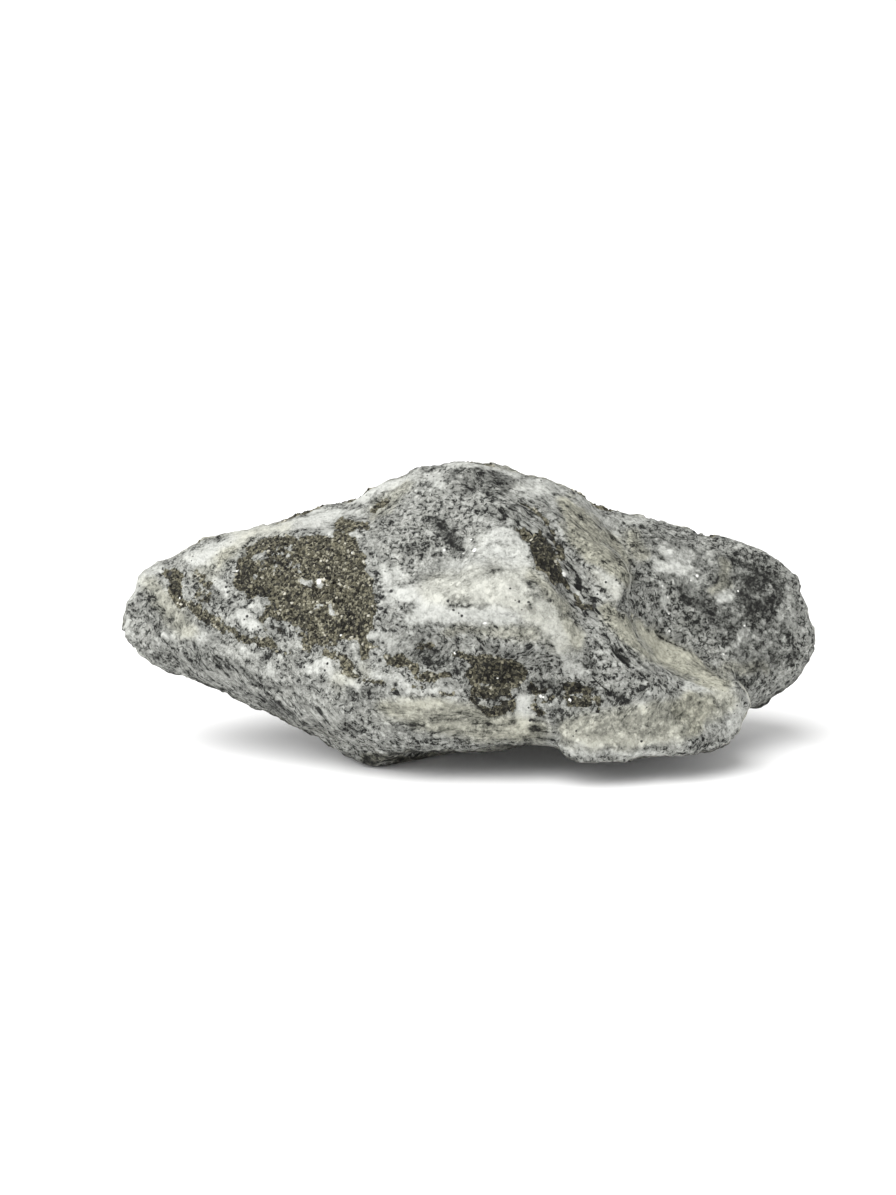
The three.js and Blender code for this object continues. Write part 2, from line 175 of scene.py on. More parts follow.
# ------------------------------------------------------------------ the minerals in it
# White calcite, grey rock, tan iron-stained skin and pyrite lie in patches that grew together.
# Each list says how much of a thing a patch has, from 0 to 1, how soft its edge is, and the
# line it follows as [across, up, radius]. Later patches lie over earlier ones.
# Some strokes also paint light and shade; each such place says so.
PALENESS = [  # 0 is the darkest grey rock and 1 is clean white calcite
    # tapered end: streaked tip, white rim partly painted highlight, cream band under the pyrite
    (0.5, 2, [[-60, 1, 3], [-57, -3, 2.4]]),
    (0.82, 1, [[-63.6, 2.6, 0.8], [-62.4, 5, 1], [-60, 7.4, 1], [-58, 8.6, 0.6]]),
    (0.86, 1, [[-64.6, -1.6, 0.8], [-64.2, -3.4, 0.7], [-62.6, -4.6, 0.6]]),
    (0.68, 1.2, [[-60, 5.4, 1.2], [-58, 3.4, 1], [-56.6, 1, 1], [-55, -2, 0.9]]),
    (0.4, 1, [[-61.4, 3.4, 0.5], [-59.6, 1, 0.7], [-58, -1.4, 0.6]]),
    (0.42, 1, [[-62.6, 1, 0.5], [-61.4, -1.4, 0.5]]),
    (0.62, 1.2, [[-62, -4.6, 1], [-58, -6.4, 1.2]]),
    (0.92, 0.6, [[-57.2, -4.6, 0.6]]),
    (0.72, 1.6, [[-55, -4.6, 1.2], [-51, -4.8, 1.8]]),
    (0.58, 1.4, [[-48, -6.2, 1.4], [-44.6, -7.6, 1]]),
    (0.82, 1, [[-53, -5, 0.7], [-49.6, -5.4, 0.8]]),
    # white calcite along the upper edge, made whiter as a painted highlight where light falls on it
    (1, 1, [[-52.2, 9.8, 1.1], [-49, 10.2, 1.7], [-46.4, 12, 1.4], [-43, 13.6, 1.1]]),
    (1, 1, [[-44, 14.2, 0.9], [-40, 15.2, 1], [-36, 15.8, 1.1], [-32, 16.6, 1.1]]),
    (1, 1, [[-32, 16.2, 1.3], [-28, 17.6, 1.2], [-24.4, 18.4, 1.2]]),
    (0.62, 1.2, [[-46, 9.6, 1.2], [-44.4, 11, 1]]),
    (0.42, 1.6, [[-50.4, 4.6, 1.2], [-49, 2.6, 2], [-46.4, 1.4, 1.4]]),
    (0.6, 1.2, [[-46.6, 7.6, 0.9]]),
    (0.66, 1, [[-52, 7, 0.9], [-50, 7, 1]]),
    (0.86, 0.8, [[-47.4, 5.6, 0.9], [-46, 4.6, 1], [-45, 2.6, 0.6]]),
    (0.9, 0.6, [[-46.6, -1.6, 0.5]]),
    # white islands and grey pockets in the pyrite
    (0.52, 3, [[-38, 8, 3], [-30, 6, 5], [-22, 6, 4], [-24, -1, 3.4]]),
    (0.95, 0.7, [[-39.6, 1.1, 0.5], [-41, 0.6, 0.4]]),
    (0.93, 0.8, [[-42.8, -0.6, 1], [-41.6, -2, 1.5], [-39.8, -3, 0.9]]),
    (0.9, 0.8, [[-42.2, -6.8, 0.7], [-41.4, -8.4, 1]]),
    (0.74, 1, [[-40, -9.4, 1]]),
    (0.42, 1, [[-38, 9.6, 1], [-35.4, 9.8, 1.2], [-33.4, 9.4, 0.8]]),
    (0.84, 0.6, [[-31.4, 5.6, 0.7], [-29.6, 5.4, 0.5]]),
    (0.92, 0.5, [[-27.8, 5.6, 0.45], [-27.4, 4.8, 0.4]]),
    (0.84, 0.6, [[-28.8, 0.2, 0.4], [-27.8, 1.3, 0.4]]),
    (0.85, 0.6, [[-26.2, 0.8, 0.6], [-25.4, -0.6, 0.5]]),
    (0.4, 1, [[-37, -2.6, 0.9], [-35, -3.4, 1.2], [-34, -4.8, 0.8]]),
    (0.74, 0.6, [[-33.4, -6.4, 0.5], [-31.4, -6.6, 0.4]]),
    (0.4, 1, [[-38, -8.4, 1], [-35, -8.6, 1], [-32, -8.4, 1]]),
    (0.82, 0.7, [[-26.4, 16, 0.7], [-25.6, 14.6, 0.5]]),
    (0.8, 0.6, [[-22, 14.4, 0.4], [-20.4, 13.8, 0.4]]),
    # the rock between the grains
    (0.36, 2, [[-42.6, 8.6, 1.4], [-41.4, 4.4, 1.4], [-38, 3.4, 1], [-37, 0.4, 1.2]]),
    (0.36, 1.4, [[-22.6, -3, 1.6], [-19.4, -3.6, 1.2]]),
    (0.36, 1.4, [[-33, 2.4, 0.8], [-31, 3.2, 0.8]]),
    (0.74, 1, [[-28, -2, 0.7], [-27.2, -3.4, 0.6]]),
    (0.34, 1.2, [[-56, 6.6, 0.8], [-54.4, 3, 0.9]]),
    # lower left, dark and swirled; partly painted shade, as these faces look down
    (0.36, 1.4, [[-58.6, -8.6, 0.8], [-53, -9.6, 1.1], [-47, -9.8, 1.3], [-43, -11.2, 1]]),
    (0.5, 1.6, [[-56, -11, 0.9], [-50, -13, 1.6], [-44, -15, 2], [-38, -17, 2]]),
    (0.64, 0.9, [[-51.6, -11.4, 0.5], [-48, -12.4, 0.6], [-44.6, -13.4, 0.5]]),
    (0.66, 0.9, [[-46, -6.8, 0.5], [-43, -9.2, 0.6], [-40.6, -11.4, 0.6]]),
    (0.56, 1.4, [[-38, -11, 1.2], [-36, -12, 1.6], [-33, -11.6, 1]]),
    (0.82, 0.7, [[-38, -10.8, 0.6], [-35.6, -13.4, 0.5]]),
    (0.66, 1, [[-41.4, -12.6, 0.9], [-41, -14.2, 1], [-38, -15, 1]]),
    (0.54, 1.4, [[-33, -14.6, 1.4], [-30.6, -12.6, 1]]),
    (0.3, 0.8, [[-42, -12, 0.5], [-39.6, -14.4, 0.5], [-36.4, -15.8, 0.4]]),
    (0.3, 1.2, [[-38.4, -18, 0.8], [-36, -18.4, 1], [-33.4, -19.8, 0.8]]),
    (0.6, 1, [[-36, -16.8, 0.6], [-32.6, -17.4, 0.7]]),
    (0.26, 1, [[-31.2, -17.4, 0.8], [-29.6, -18, 0.6]]),
    (0.6, 1.2, [[-30.6, -15.6, 0.7], [-27, -17, 1.2], [-23.6, -18.2, 1]]),
    (0.4, 1.4, [[-31, -21.6, 0.9], [-26, -22.4, 1.2], [-22, -22.6, 1.4], [-18, -22, 1.2]]),
    (0.72, 0.8, [[-26.6, -20.4, 0.5], [-23.6, -20.6, 0.5]]),
    (0.6, 1.2, [[-29, -24, 0.6], [-24, -25, 0.8], [-19, -25.4, 1]]),
    (0.4, 0.8, [[-30.4, -13.4, 0.35], [-28.4, -15.4, 0.4]]),
    # white and peppered band below the pyrite
    (0.94, 1, [[-29.2, -11, 1.2], [-26.4, -10.8, 1.5], [-25, -12.4, 0.9]]),
    (0.88, 1, [[-24, -13, 0.9], [-22, -13.8, 1], [-20.8, -14.8, 0.7]]),
    (0.62, 1.2, [[-28, -14.6, 0.9], [-25, -16, 0.9]]),
    (0.4, 1.2, [[-26.6, -7.4, 1], [-24, -7.6, 1], [-22.6, -7.6, 0.6]]),
    (0.84, 0.5, [[-23, -5.6, 0.3], [-20.8, -5.1, 0.3]]),
    (0.84, 0.5, [[-21.4, -7, 0.3], [-20.8, -9, 0.35]]),
    (0.66, 0.9, [[-18, -10.4, 0.7], [-15.8, -10.4, 0.6], [-16, -12, 0.6]]),
    (0.82, 1, [[-19.6, -12, 0.4], [-16, -12.8, 0.6], [-12.4, -13, 0.8], [-11, -14.4, 0.8]]),
    (0.84, 1, [[-11, -15.4, 0.6], [-7.6, -15.6, 0.5]]),
    (0.84, 0.8, [[-6, -15.2, 0.5], [-3.4, -15.2, 0.6], [-1.4, -15.2, 0.5]]),
    (0.42, 1.2, [[-19.6, -15.4, 0.9], [-16.6, -14.8, 0.9], [-13.6, -15.6, 0.6]]),
    # crown, its pale top edge brightened by a painted highlight
    (0.5, 2, [[-16, 15, 2.6], [-10, 18, 3.6], [-3, 20, 3]]),
    (1, 1, [[-22, 20.8, 0.7], [-18, 22.4, 1.3], [-14.4, 24, 1], [-11.4, 25.4, 0.5]]),
    (0.76, 1, [[-12, 24.4, 0.8], [-9, 26, 0.7]]),
    (0.88, 0.8, [[-7.6, 25.6, 0.8], [-5.4, 25.4, 1.1], [-4.6, 23.8, 0.8]]),
    (0.55, 1.2, [[-12, 22.4, 1], [-8, 22.4, 1.4]]),
    (0.76, 1, [[-23, 18.4, 0.7], [-19.6, 18.4, 0.7]]),
    (0.4, 1.6, [[-1.6, 26, 1.2], [2, 25, 1.8], [6, 24.6, 1.3], [8.4, 24, 1]]),
    # pale rock along the top edge, brightened as a painted highlight
    (0.9, 0.8, [[-3, 28, 0.5], [2, 28, 0.7], [6, 27.4, 1.1], [10, 26.4, 0.9]]),
    (0.34, 1.2, [[1, 22.8, 1], [4.8, 22, 1.2], [5.6, 21, 0.8]]),
    (0.68, 0.7, [[1.6, 21.9, 0.5], [3, 22, 0.5]]),
    (0.5, 1, [[-1.4, 21.4, 0.9], [1, 19.6, 1]]),
    (0.82, 1.2, [[10.6, 23, 0.9], [13, 24, 1.3], [16, 23.4, 1.2], [12.6, 21.8, 0.8]]),
    (0.72, 1.2, [[17.4, 23.4, 0.7], [19.4, 21.2, 0.8], [16.4, 20.6, 0.9]]),
    (0.36, 1.2, [[3, 19, 0.8], [6, 18.4, 1.1], [9.6, 18.8, 1], [12, 17, 0.8]]),
    (0.68, 1, [[2.4, 17.4, 0.8], [4.4, 16.4, 0.6], [8, 16.4, 0.5]]),
    (0.1, 1.2, [[-6.6, 17.2, 1.1], [-4.4, 15.8, 1.5], [-3, 13.4, 1.4], [-1.2, 12.2, 1]]),
    (0.3, 1.2, [[-12, 12.2, 0.7], [-9.6, 11.6, 1.1], [-8, 10.6, 0.7]]),
    (0.4, 1, [[-9, 14.4, 0.7], [-7, 13, 0.8]]),
    (0.64, 1, [[-12.6, 14.6, 1], [-10.6, 19, 0.8], [-9, 21, 0.6]]),
    (0.74, 1, [[0.6, 13.6, 0.7], [1.8, 11.4, 0.8]]),
    (0.7, 1.2, [[-18.2, 13, 0.8], [-16.4, 11.4, 1], [-13.4, 10, 0.7]]),
    (0.56, 1, [[-14.6, 15.6, 0.9], [-13, 12.6, 0.6]]),
    # white hump and the arm to its left
    (0.62, 1.6, [[-8, 8.4, 1.8], [-5, 8.8, 1.8]]),
    (0.8, 1.8, [[-3, 8.4, 1.4], [2.6, 8.6, 2.2]]),
    (0.46, 0.9, [[-9.6, 5.6, 0.5], [-7, 5.2, 0.6], [-4.6, 5.6, 0.4]]),
    (0.9, 1, [[-13.2, 7.6, 1], [-11.4, 6.2, 0.9]]),
    (0.9, 1.2, [[3.4, 13.6, 1], [6.8, 14.4, 1.2], [9.4, 13.6, 1.3], [10.6, 11, 1.6]]),
    (0.88, 1.4, [[3.6, 11.6, 1.4], [8, 10, 2.2], [11.4, 7.6, 1.7]]),
    (0.92, 1.2, [[-15.6, 8, 0.9], [-14.4, 5.6, 1.7]]),
    (0.78, 1.2, [[-14.4, 4, 1.4], [-14, 2.4, 1], [-12.4, 2.8, 1]]),
    (1, 1.4, [[-12, 3, 1], [-8, 3, 2.2], [-5.6, 0.8, 2.6], [-10, -1.8, 1.3]]),
    (0.8, 1.8, [[-8, 4.4, 0.8], [-3, 4.8, 1.8], [2, 4.8, 2]]),
    (0.92, 1.8, [[3, 3.6, 2.4], [8.4, 4, 3], [10.6, 2, 1.6]]),
    (0.92, 1.4, [[-4, -1, 1.4], [1, -1.2, 1.6], [5, -1, 1.9], [9, -1.4, 1.6], [13.6, -1, 1.3]]),
    (0.62, 1.4, [[13, 5.6, 1.2], [14.4, 3, 1.6], [18.6, 0.4, 1]]),
    (0.96, 1.4, [[14.6, -2, 1.5], [17.4, -3.2, 2], [18.8, -6.4, 1.6], [18.8, -9.6, 0.9]]),
    (0.66, 1.2, [[21.6, -4, 0.9], [21.4, -7, 1.1], [21.6, -10, 0.9]]),
    (0.5, 1.2, [[-17, -0.6, 0.9], [-15, -2, 1.3], [-12.6, -3, 0.8]]),
    (0.82, 0.9, [[-18.2, -4.8, 0.9], [-16.6, -4.8, 0.7], [-13.8, -5.8, 0.8], [-11, -4.4, 0.7]]),
    (0.66, 1, [[-14, -7.4, 1], [-16.4, -7.2, 0.5]]),
    (0.88, 1.2, [[14.4, 0.6, 1.3], [16.6, -0.6, 1]]),
    (0.8, 1, [[20, -2.6, 1]]),
    # grey hollow under the arm
    (0.5, 1.2, [[-10, -6, 1], [-4, -5.6, 1.2], [2, -5.8, 1.4], [7, -6.4, 1.2]]),
    (0.58, 0.8, [[-9, -3.6, 0.4], [-4, -3.8, 0.6], [1, -3.8, 0.7]]),
    (0.64, 0.9, [[3.6, -4.6, 0.6], [7, -4.6, 0.6]]),
    (0.3, 1, [[-9.4, -8.4, 0.9], [-6.4, -7.4, 0.8], [-3.4, -8.4, 0.7]]),
    (0.24, 1.4, [[-9, -9.6, 0.9], [-4, -10.6, 1.5], [-1.2, -11, 1.5]]),
    (0.9, 0.5, [[0.2, -7.4, 0.5], [1.2, -7.2, 0.4]]),
    (0.32, 1, [[4, -7.4, 0.7], [8, -7.8, 0.8]]),
    (0.64, 1, [[9, -4.6, 0.8], [12.6, -4.8, 0.9], [13.4, -6.4, 0.8]]),
    (0.52, 1.6, [[11, -7.6, 0.9], [14.6, -9.6, 1.5], [18, -11.8, 1.4], [15.6, -13, 1]]),
    (0.66, 0.9, [[12.6, -8.4, 0.6], [15.4, -7.4, 0.7], [16.8, -9, 0.6]]),
    (0.78, 1.2, [[22, -12, 0.8], [20.2, -10.6, 1.2], [19.4, -8.6, 0.9]]),
    # facet below the tan ridge
    (0.52, 1.4, [[26, -6.4, 1.2], [27.4, -9.4, 1.6], [29.4, -12, 2], [32.6, -14, 1]]),
    (0.44, 1.2, [[26.6, -14.4, 1], [28.6, -15.6, 1], [32.6, -15.6, 0.8]]),
    (0.28, 0.8, [[28.8, -16.6, 0.5], [30.6, -16.8, 0.7]]),
    (0.5, 1, [[35, -13, 0.8], [38, -14.4, 0.9]]),
    (0.28, 0.8, [[23.6, -6.8, 0.5], [24.2, -9.4, 0.5], [24.6, -12.4, 0.6]]),
    (0.48, 0.9, [[18.4, -18.6, 0.7], [22.6, -19.4, 0.6], [26.4, -18.2, 0.9]]),
    (0.46, 0.8, [[14.6, -18.4, 0.4], [16.6, -19, 0.6], [17.8, -16.6, 0.5]]),
    # front lip, darkened towards its lower edge as painted shade
    (0.58, 2, [[-15, -18.4, 1.6], [-6, -20, 2.4], [3, -21.4, 2]]),
    (0.42, 2, [[3, -21.4, 2], [15, -22.8, 1.8]]),
    (0.84, 1.2, [[-13, -17.4, 0.7], [-8, -18, 1], [-2, -17.2, 0.9]]),
    (0.78, 1, [[-11, -19.6, 0.6], [-7.4, -20.8, 0.7]]),
    (0.52, 1.4, [[-19, -21.4, 0.6], [-13, -22, 0.9], [-8, -22.4, 0.7]]),
    (0.62, 1, [[-20, -24.4, 0.7], [-13, -24, 0.9]]),
    (0.7, 0.9, [[-4, -22, 0.5], [4, -22.4, 0.5], [12, -23.2, 0.5]]),
    (0.5, 0.9, [[2, -20.2, 0.6], [9, -21.6, 0.5]]),
    # painted shade along the lip's lower edge
    (0.46, 0.8, [[-12, -25.6, 0.5], [-2, -25.4, 0.4], [8, -25.4, 0.4], [16, -25, 0.5]]),
    (0.42, 0.8, [[13.6, -23.6, 0.6], [16.4, -22.8, 0.6]]),
    (1, 1.6, [[10.8, -16.8, 0.8], [11.2, -18.6, 1.7], [11.6, -20.6, 1.9]]),
    (0.3, 1, [[1.4, -16.6, 0.7], [5, -16.8, 0.8], [8.4, -16.4, 0.7]]),
    (0.74, 0.6, [[3.2, -17.8, 0.4], [4, -17.4, 0.4]]),
    (0.74, 1, [[8, -20.6, 0.8], [5, -21, 0.6]]),
    (0.55, 1, [[13.6, -20.8, 0.8], [17, -20.8, 0.7]]),
    # valley, tan ridge and the pale nub on it
    (0.4, 1.2, [[14, 15.8, 1.2], [17, 13.4, 1.4], [19.4, 10.4, 0.9]]),
    (0.66, 0.7, [[16.4, 18.4, 0.4], [18, 16.4, 0.5], [18.8, 13.6, 0.4]]),
    (0.26, 1.2, [[19.4, 8.4, 0.8], [21.6, 5.4, 1.2], [23.8, 2.2, 1.4], [23.8, -0.6, 1]]),
    (0.72, 0.6, [[20.4, 6, 0.3], [22, 3.6, 0.3], [23, 0.6, 0.3]]),
    (0.86, 0.5, [[19, 6.8, 0.7]]),
    (0.5, 1.6, [[20.6, 17.4, 1.4], [23.6, 14, 2.6], [27.4, 11, 2.6], [30, 7.6, 1.2]]),
    (0.7, 1.4, [[21, 20.6, 1], [24.6, 18.8, 1.1], [28.6, 16, 1]]),
    (0.86, 0.9, [[24, 7.4, 0.5], [25.8, 6.4, 0.7], [27.6, 4.8, 1.2], [29, 2.8, 0.8]]),
    (0.6, 1, [[27, 1.6, 0.9], [24.6, 4.4, 0.4]]),
    (0.78, 0.9, [[30, 16.9, 0.5], [34, 17, 0.5]]),
    (0.9, 0.5, [[28, 14.5, 0.4], [29.4, 13.8, 0.3]]),
    (0.46, 1.2, [[27.6, -0.4, 1.2], [29.8, -2, 1.5]]),
    (0.62, 1.8, [[29.6, -4, 1.2], [32, -3.4, 1.4]]),
    (0.82, 1.8, [[33, -4.8, 1.8], [36.6, -7.6, 2.2], [41, -9.8, 2]]),
    (0.8, 1.2, [[44, -12, 1.2], [47.6, -13.8, 1.3], [51, -15.4, 0.9]]),
    (0.78, 1, [[36, -10.6, 0.7], [39.4, -11, 0.8], [43, -11.4, 0.7]]),
    (0.88, 1.2, [[42.6, -14.6, 0.9], [46.4, -15.2, 1], [49, -15.8, 0.8]]),
    (0.46, 1, [[44.6, -8, 0.7], [47.4, -10.4, 0.8], [50, -12.8, 0.6]]),
    # blunt end, set back in a hollow, its grey partly painted shade
    (0.46, 2.6, [[34, 12, 3], [44, 4, 5], [56, -3, 6], [58, 4, 5]]),
    (0.5, 1.2, [[33, 14.8, 0.8], [36.6, 15, 0.8], [41, 14.2, 0.8], [35, 12.8, 0.5]]),
    (0.66, 1.2, [[33.6, 10, 0.9], [36, 9.6, 0.6]]),
    (0.78, 1.6, [[37.6, 11.8, 0.9], [40, 10.4, 1.6], [43, 10.4, 1]]),
    (0.9, 1.2, [[36.4, 8.2, 0.9], [39.6, 8, 1.3], [42, 7.8, 1.1], [44.2, 7.4, 0.7]]),
    (0.6, 1.2, [[44.6, 12.4, 0.9], [46.6, 10.4, 1]]),
    # painted shadow to the right of the nub
    (0.34, 1, [[32.6, 7, 0.7], [33.4, 4.6, 1]]),
    (0.5, 1, [[35, 6, 0.8], [36.4, 2.6, 1], [35, -0.4, 0.8]]),
    (0.74, 0.7, [[37, 4.8, 0.5], [37.6, 1.1, 0.7], [38.2, 2.4, 0.4]]),
    (0.28, 1.4, [[41.8, 2.8, 0.7], [43, 1.4, 1.3], [46, 0.2, 1.3], [47.2, -2, 1.1]]),
    (0.28, 1.4, [[41.6, -1.8, 1.4], [45, -3.8, 1.2]]),
    (0.3, 1, [[36.6, -3, 0.7], [38.6, -4.8, 0.6]]),
    (0.4, 1.2, [[50, -7.4, 1.4], [48, -5.4, 0.8]]),
    (0.3, 1.8, [[51.4, 10, 1.4], [56, 9, 1.4], [58.6, 7, 1.8], [55, 5.6, 2.4]]),
    (0.32, 1.8, [[53, 3, 1.2], [54, 0.4, 1.4], [57.4, -1, 1.4], [59.4, 2.4, 1.2]]),
    (0.6, 1.4, [[61, 7.4, 0.9], [62, 4.4, 1], [60.8, 0, 1.4], [62, -3.6, 1.2]]),
    (0.52, 1.8, [[52.6, -5, 1.4], [59, -6, 2], [54, -8, 1.8]]),
    (0.72, 0.9, [[53.6, -3.2, 0.7], [51.4, -6.8, 0.5], [49.8, -8.2, 0.4]]),
    (0.68, 1.4, [[61.6, -5.6, 1.4], [64, -4, 0.8]]),
    (0.3, 1.2, [[60.6, -9.4, 1], [63.6, -8.6, 1], [60.6, -3.8, 0.5]]),
    (0.42, 1.2, [[48.4, 9.6, 0.9], [49.2, 7, 1.1], [50.6, 5, 0.9]]),
    (0.6, 1, [[44, 5, 0.9], [46, 6.6, 0.9], [40.6, 5.2, 0.8], [46.6, 9, 0.7]]),
    (0.96, 0.7, [[48.6, 2.4, 0.8], [49.8, 2.3, 0.9], [48.9, 1.2, 0.5]]),
    (0.6, 1, [[46.4, 3.8, 0.6], [51.4, 3, 0.5]]),
    (0.2, 0.7, [[55.2, -10.2, 0.4], [55.8, -11.6, 0.4]]),
    (0.46, 1.2, [[50.4, -10.8, 0.7], [54, -10.6, 0.5], [57.4, -14, 0.8]]),
    (0.28, 1, [[52.4, -13.2, 0.9], [54.4, -14, 0.7]]),
    # lobe, its tones darkened in part as painted shade of the low front
    (0.66, 1.6, [[19.6, -23, 2], [25, -23.4, 3], [32, -23.6, 3], [38, -23, 2.6]]),
    (0.58, 1.6, [[27, -20.2, 1.4], [33, -18.8, 1.5], [39, -17.4, 1.6]]),
    (0.68, 1.6, [[45, -19.6, 2.6], [49, -20.6, 2.2], [51.6, -19, 1.4], [47.6, -23.4, 1.6]]),
    (0.82, 1.2, [[48.4, -16, 0.9], [51.6, -17, 0.9], [52.6, -18.8, 1], [51.4, -21.6, 1]]),
    (0.78, 1.2, [[51.4, -21.6, 1], [49, -24, 0.8]]),
    (0.56, 0.9, [[25.8, -21.8, 0.4], [27.6, -19.8, 0.5]]),
    (0.56, 0.9, [[33.4, -22.4, 0.4], [35.6, -20, 0.6], [37.4, -18.6, 0.4]]),
    (0.5, 1, [[38, -21.6, 0.5], [40.4, -19, 0.6], [41.4, -17.4, 0.6]]),
    (0.48, 1.2, [[43.4, -17.2, 0.9], [44.6, -19.2, 0.9], [42.4, -21.6, 0.7]]),
    (0.5, 1, [[42.4, -24, 0.6], [43.4, -22.6, 0.6]]),
    (0.52, 0.9, [[47, -18.4, 0.6], [49.2, -18.4, 0.5], [50.8, -17, 0.4]]),
    (0.86, 0.8, [[18.2, -25.6, 0.5], [21, -26.8, 0.5], [30, -27.4, 0.5], [38, -27.6, 0.5]]),
    (0.88, 0.9, [[33.4, -18.6, 0.5], [34.6, -19.4, 0.4]]),
    (0.44, 0.7, [[43.6, -25.8, 0.4], [48, -25.2, 0.4]]),
    (0.84, 0.9, [[21, -25.2, 0.7], [41, -24.6, 0.7]]),
    # under the darkest pyrite, and the foot, made near-black as painted shade under the lip
    (0.3, 1, [[14.6, 13, 1.2], [15.4, 9.6, 1.6], [16.8, 7, 1], [19.4, 4.6, 0.5]]),
    (0.2, 1, [[28.4, -16.6, 0.7], [30.6, -17.2, 1]]),
    (0.36, 1.4, [[2, -11.6, 1.6], [6, -12, 2.2], [9.6, -12.2, 1.6]]),
    (0.26, 1, [[1.8, -18, 0.5], [4, -19.3, 0.7], [7, -18.8, 0.9], [9, -17.4, 0.5]]),
    (0.22, 1, [[10.6, -15, 0.8], [14.4, -14.4, 1.2], [17.4, -14.6, 1.1], [16.4, -16.6, 0.8]]),
    (0.34, 1, [[19.6, -14, 0.9], [23.6, -14.6, 1.1], [26.4, -15.6, 0.9]]),
    (0.36, 1, [[19.6, -16.6, 0.7], [21, -17.8, 0.8], [24, -17.6, 0.7]]),
    # painted shade: the foot in shadow under the lip
    (0.12, 1, [[-19, -28.4, 1], [-8, -28.4, 1]]),
]
WARMTH = [  # 0 is neutral grey and 1 is tan, stained by iron
    (0.7, 3, [[-60, 5, 1.6], [-56, 0, 2], [-53, -4, 1.8]]),
    (0.5, 3, [[-50, 6.4, 2], [-46, 9.4, 1.6], [-41, 15, 1.6], [-34, 16, 1.4]]),
    (0.6, 2, [[-17, 18.6, 1.4], [-11, 23.6, 1.4]]),
    (0.9, 1.4, [[-46.4, 9.4, 0.9], [-44.6, 11, 0.9]]),
    (0.4, 3, [[-24, -13.6, 1.8], [-20, -12, 2]]),
    (0.85, 3, [[-15, -18.6, 1.6], [-6, -20, 3.4], [4, -22, 3.2], [14, -23, 2.2]]),
    (0.35, 3, [[-6, 4, 3], [4, 5, 4], [12, 4, 4], [18, -6, 3]]),
    (0.8, 2, [[13, 7, 1.2], [16, 3.4, 1.4], [19, 0.4, 1.2], [21.6, -6, 1.6]]),
    (0.7, 2, [[-3, -4, 1], [1, -3.8, 0.9], [12.6, -4.8, 1.4]]),
    (1, 2, [[19, 20.6, 1.4], [23, 14, 3.4], [27, 11, 3.4], [30.6, 6.4, 1.8]]),
    (0.3, 2, [[24, 7, 1], [29, 3, 1.2]]),
    (1, 2, [[27, 0, 1.8], [30, -3.4, 2.4], [36, -7, 3], [43, -10.6, 2.6], [49, -14, 1.8]]),
    (0.8, 2.4, [[33, 11, 2], [31.6, 14, 1.4]]),
    (0.8, 1.6, [[49, 9, 1], [49.8, 5.4, 1.3], [47, 3.6, 0.7]]),
    (0.7, 2, [[50, -11, 1.2], [57, -11, 1.2]]),
    (0.7, 3, [[20, -23, 2.6], [30, -22.6, 4], [40, -21, 4], [50, -17.4, 2.4]]),
    (1, 1.6, [[43, -17, 1.6], [41.6, -19.6, 1.6], [46.6, -18, 1.4], [43.6, -22.6, 1.4]]),
    # the foot in shadow under the lip, tan under its painted shade
    (1, 1, [[-19, -28.4, 1], [-8, -28.4, 1], [6, -28, 1]]),
]
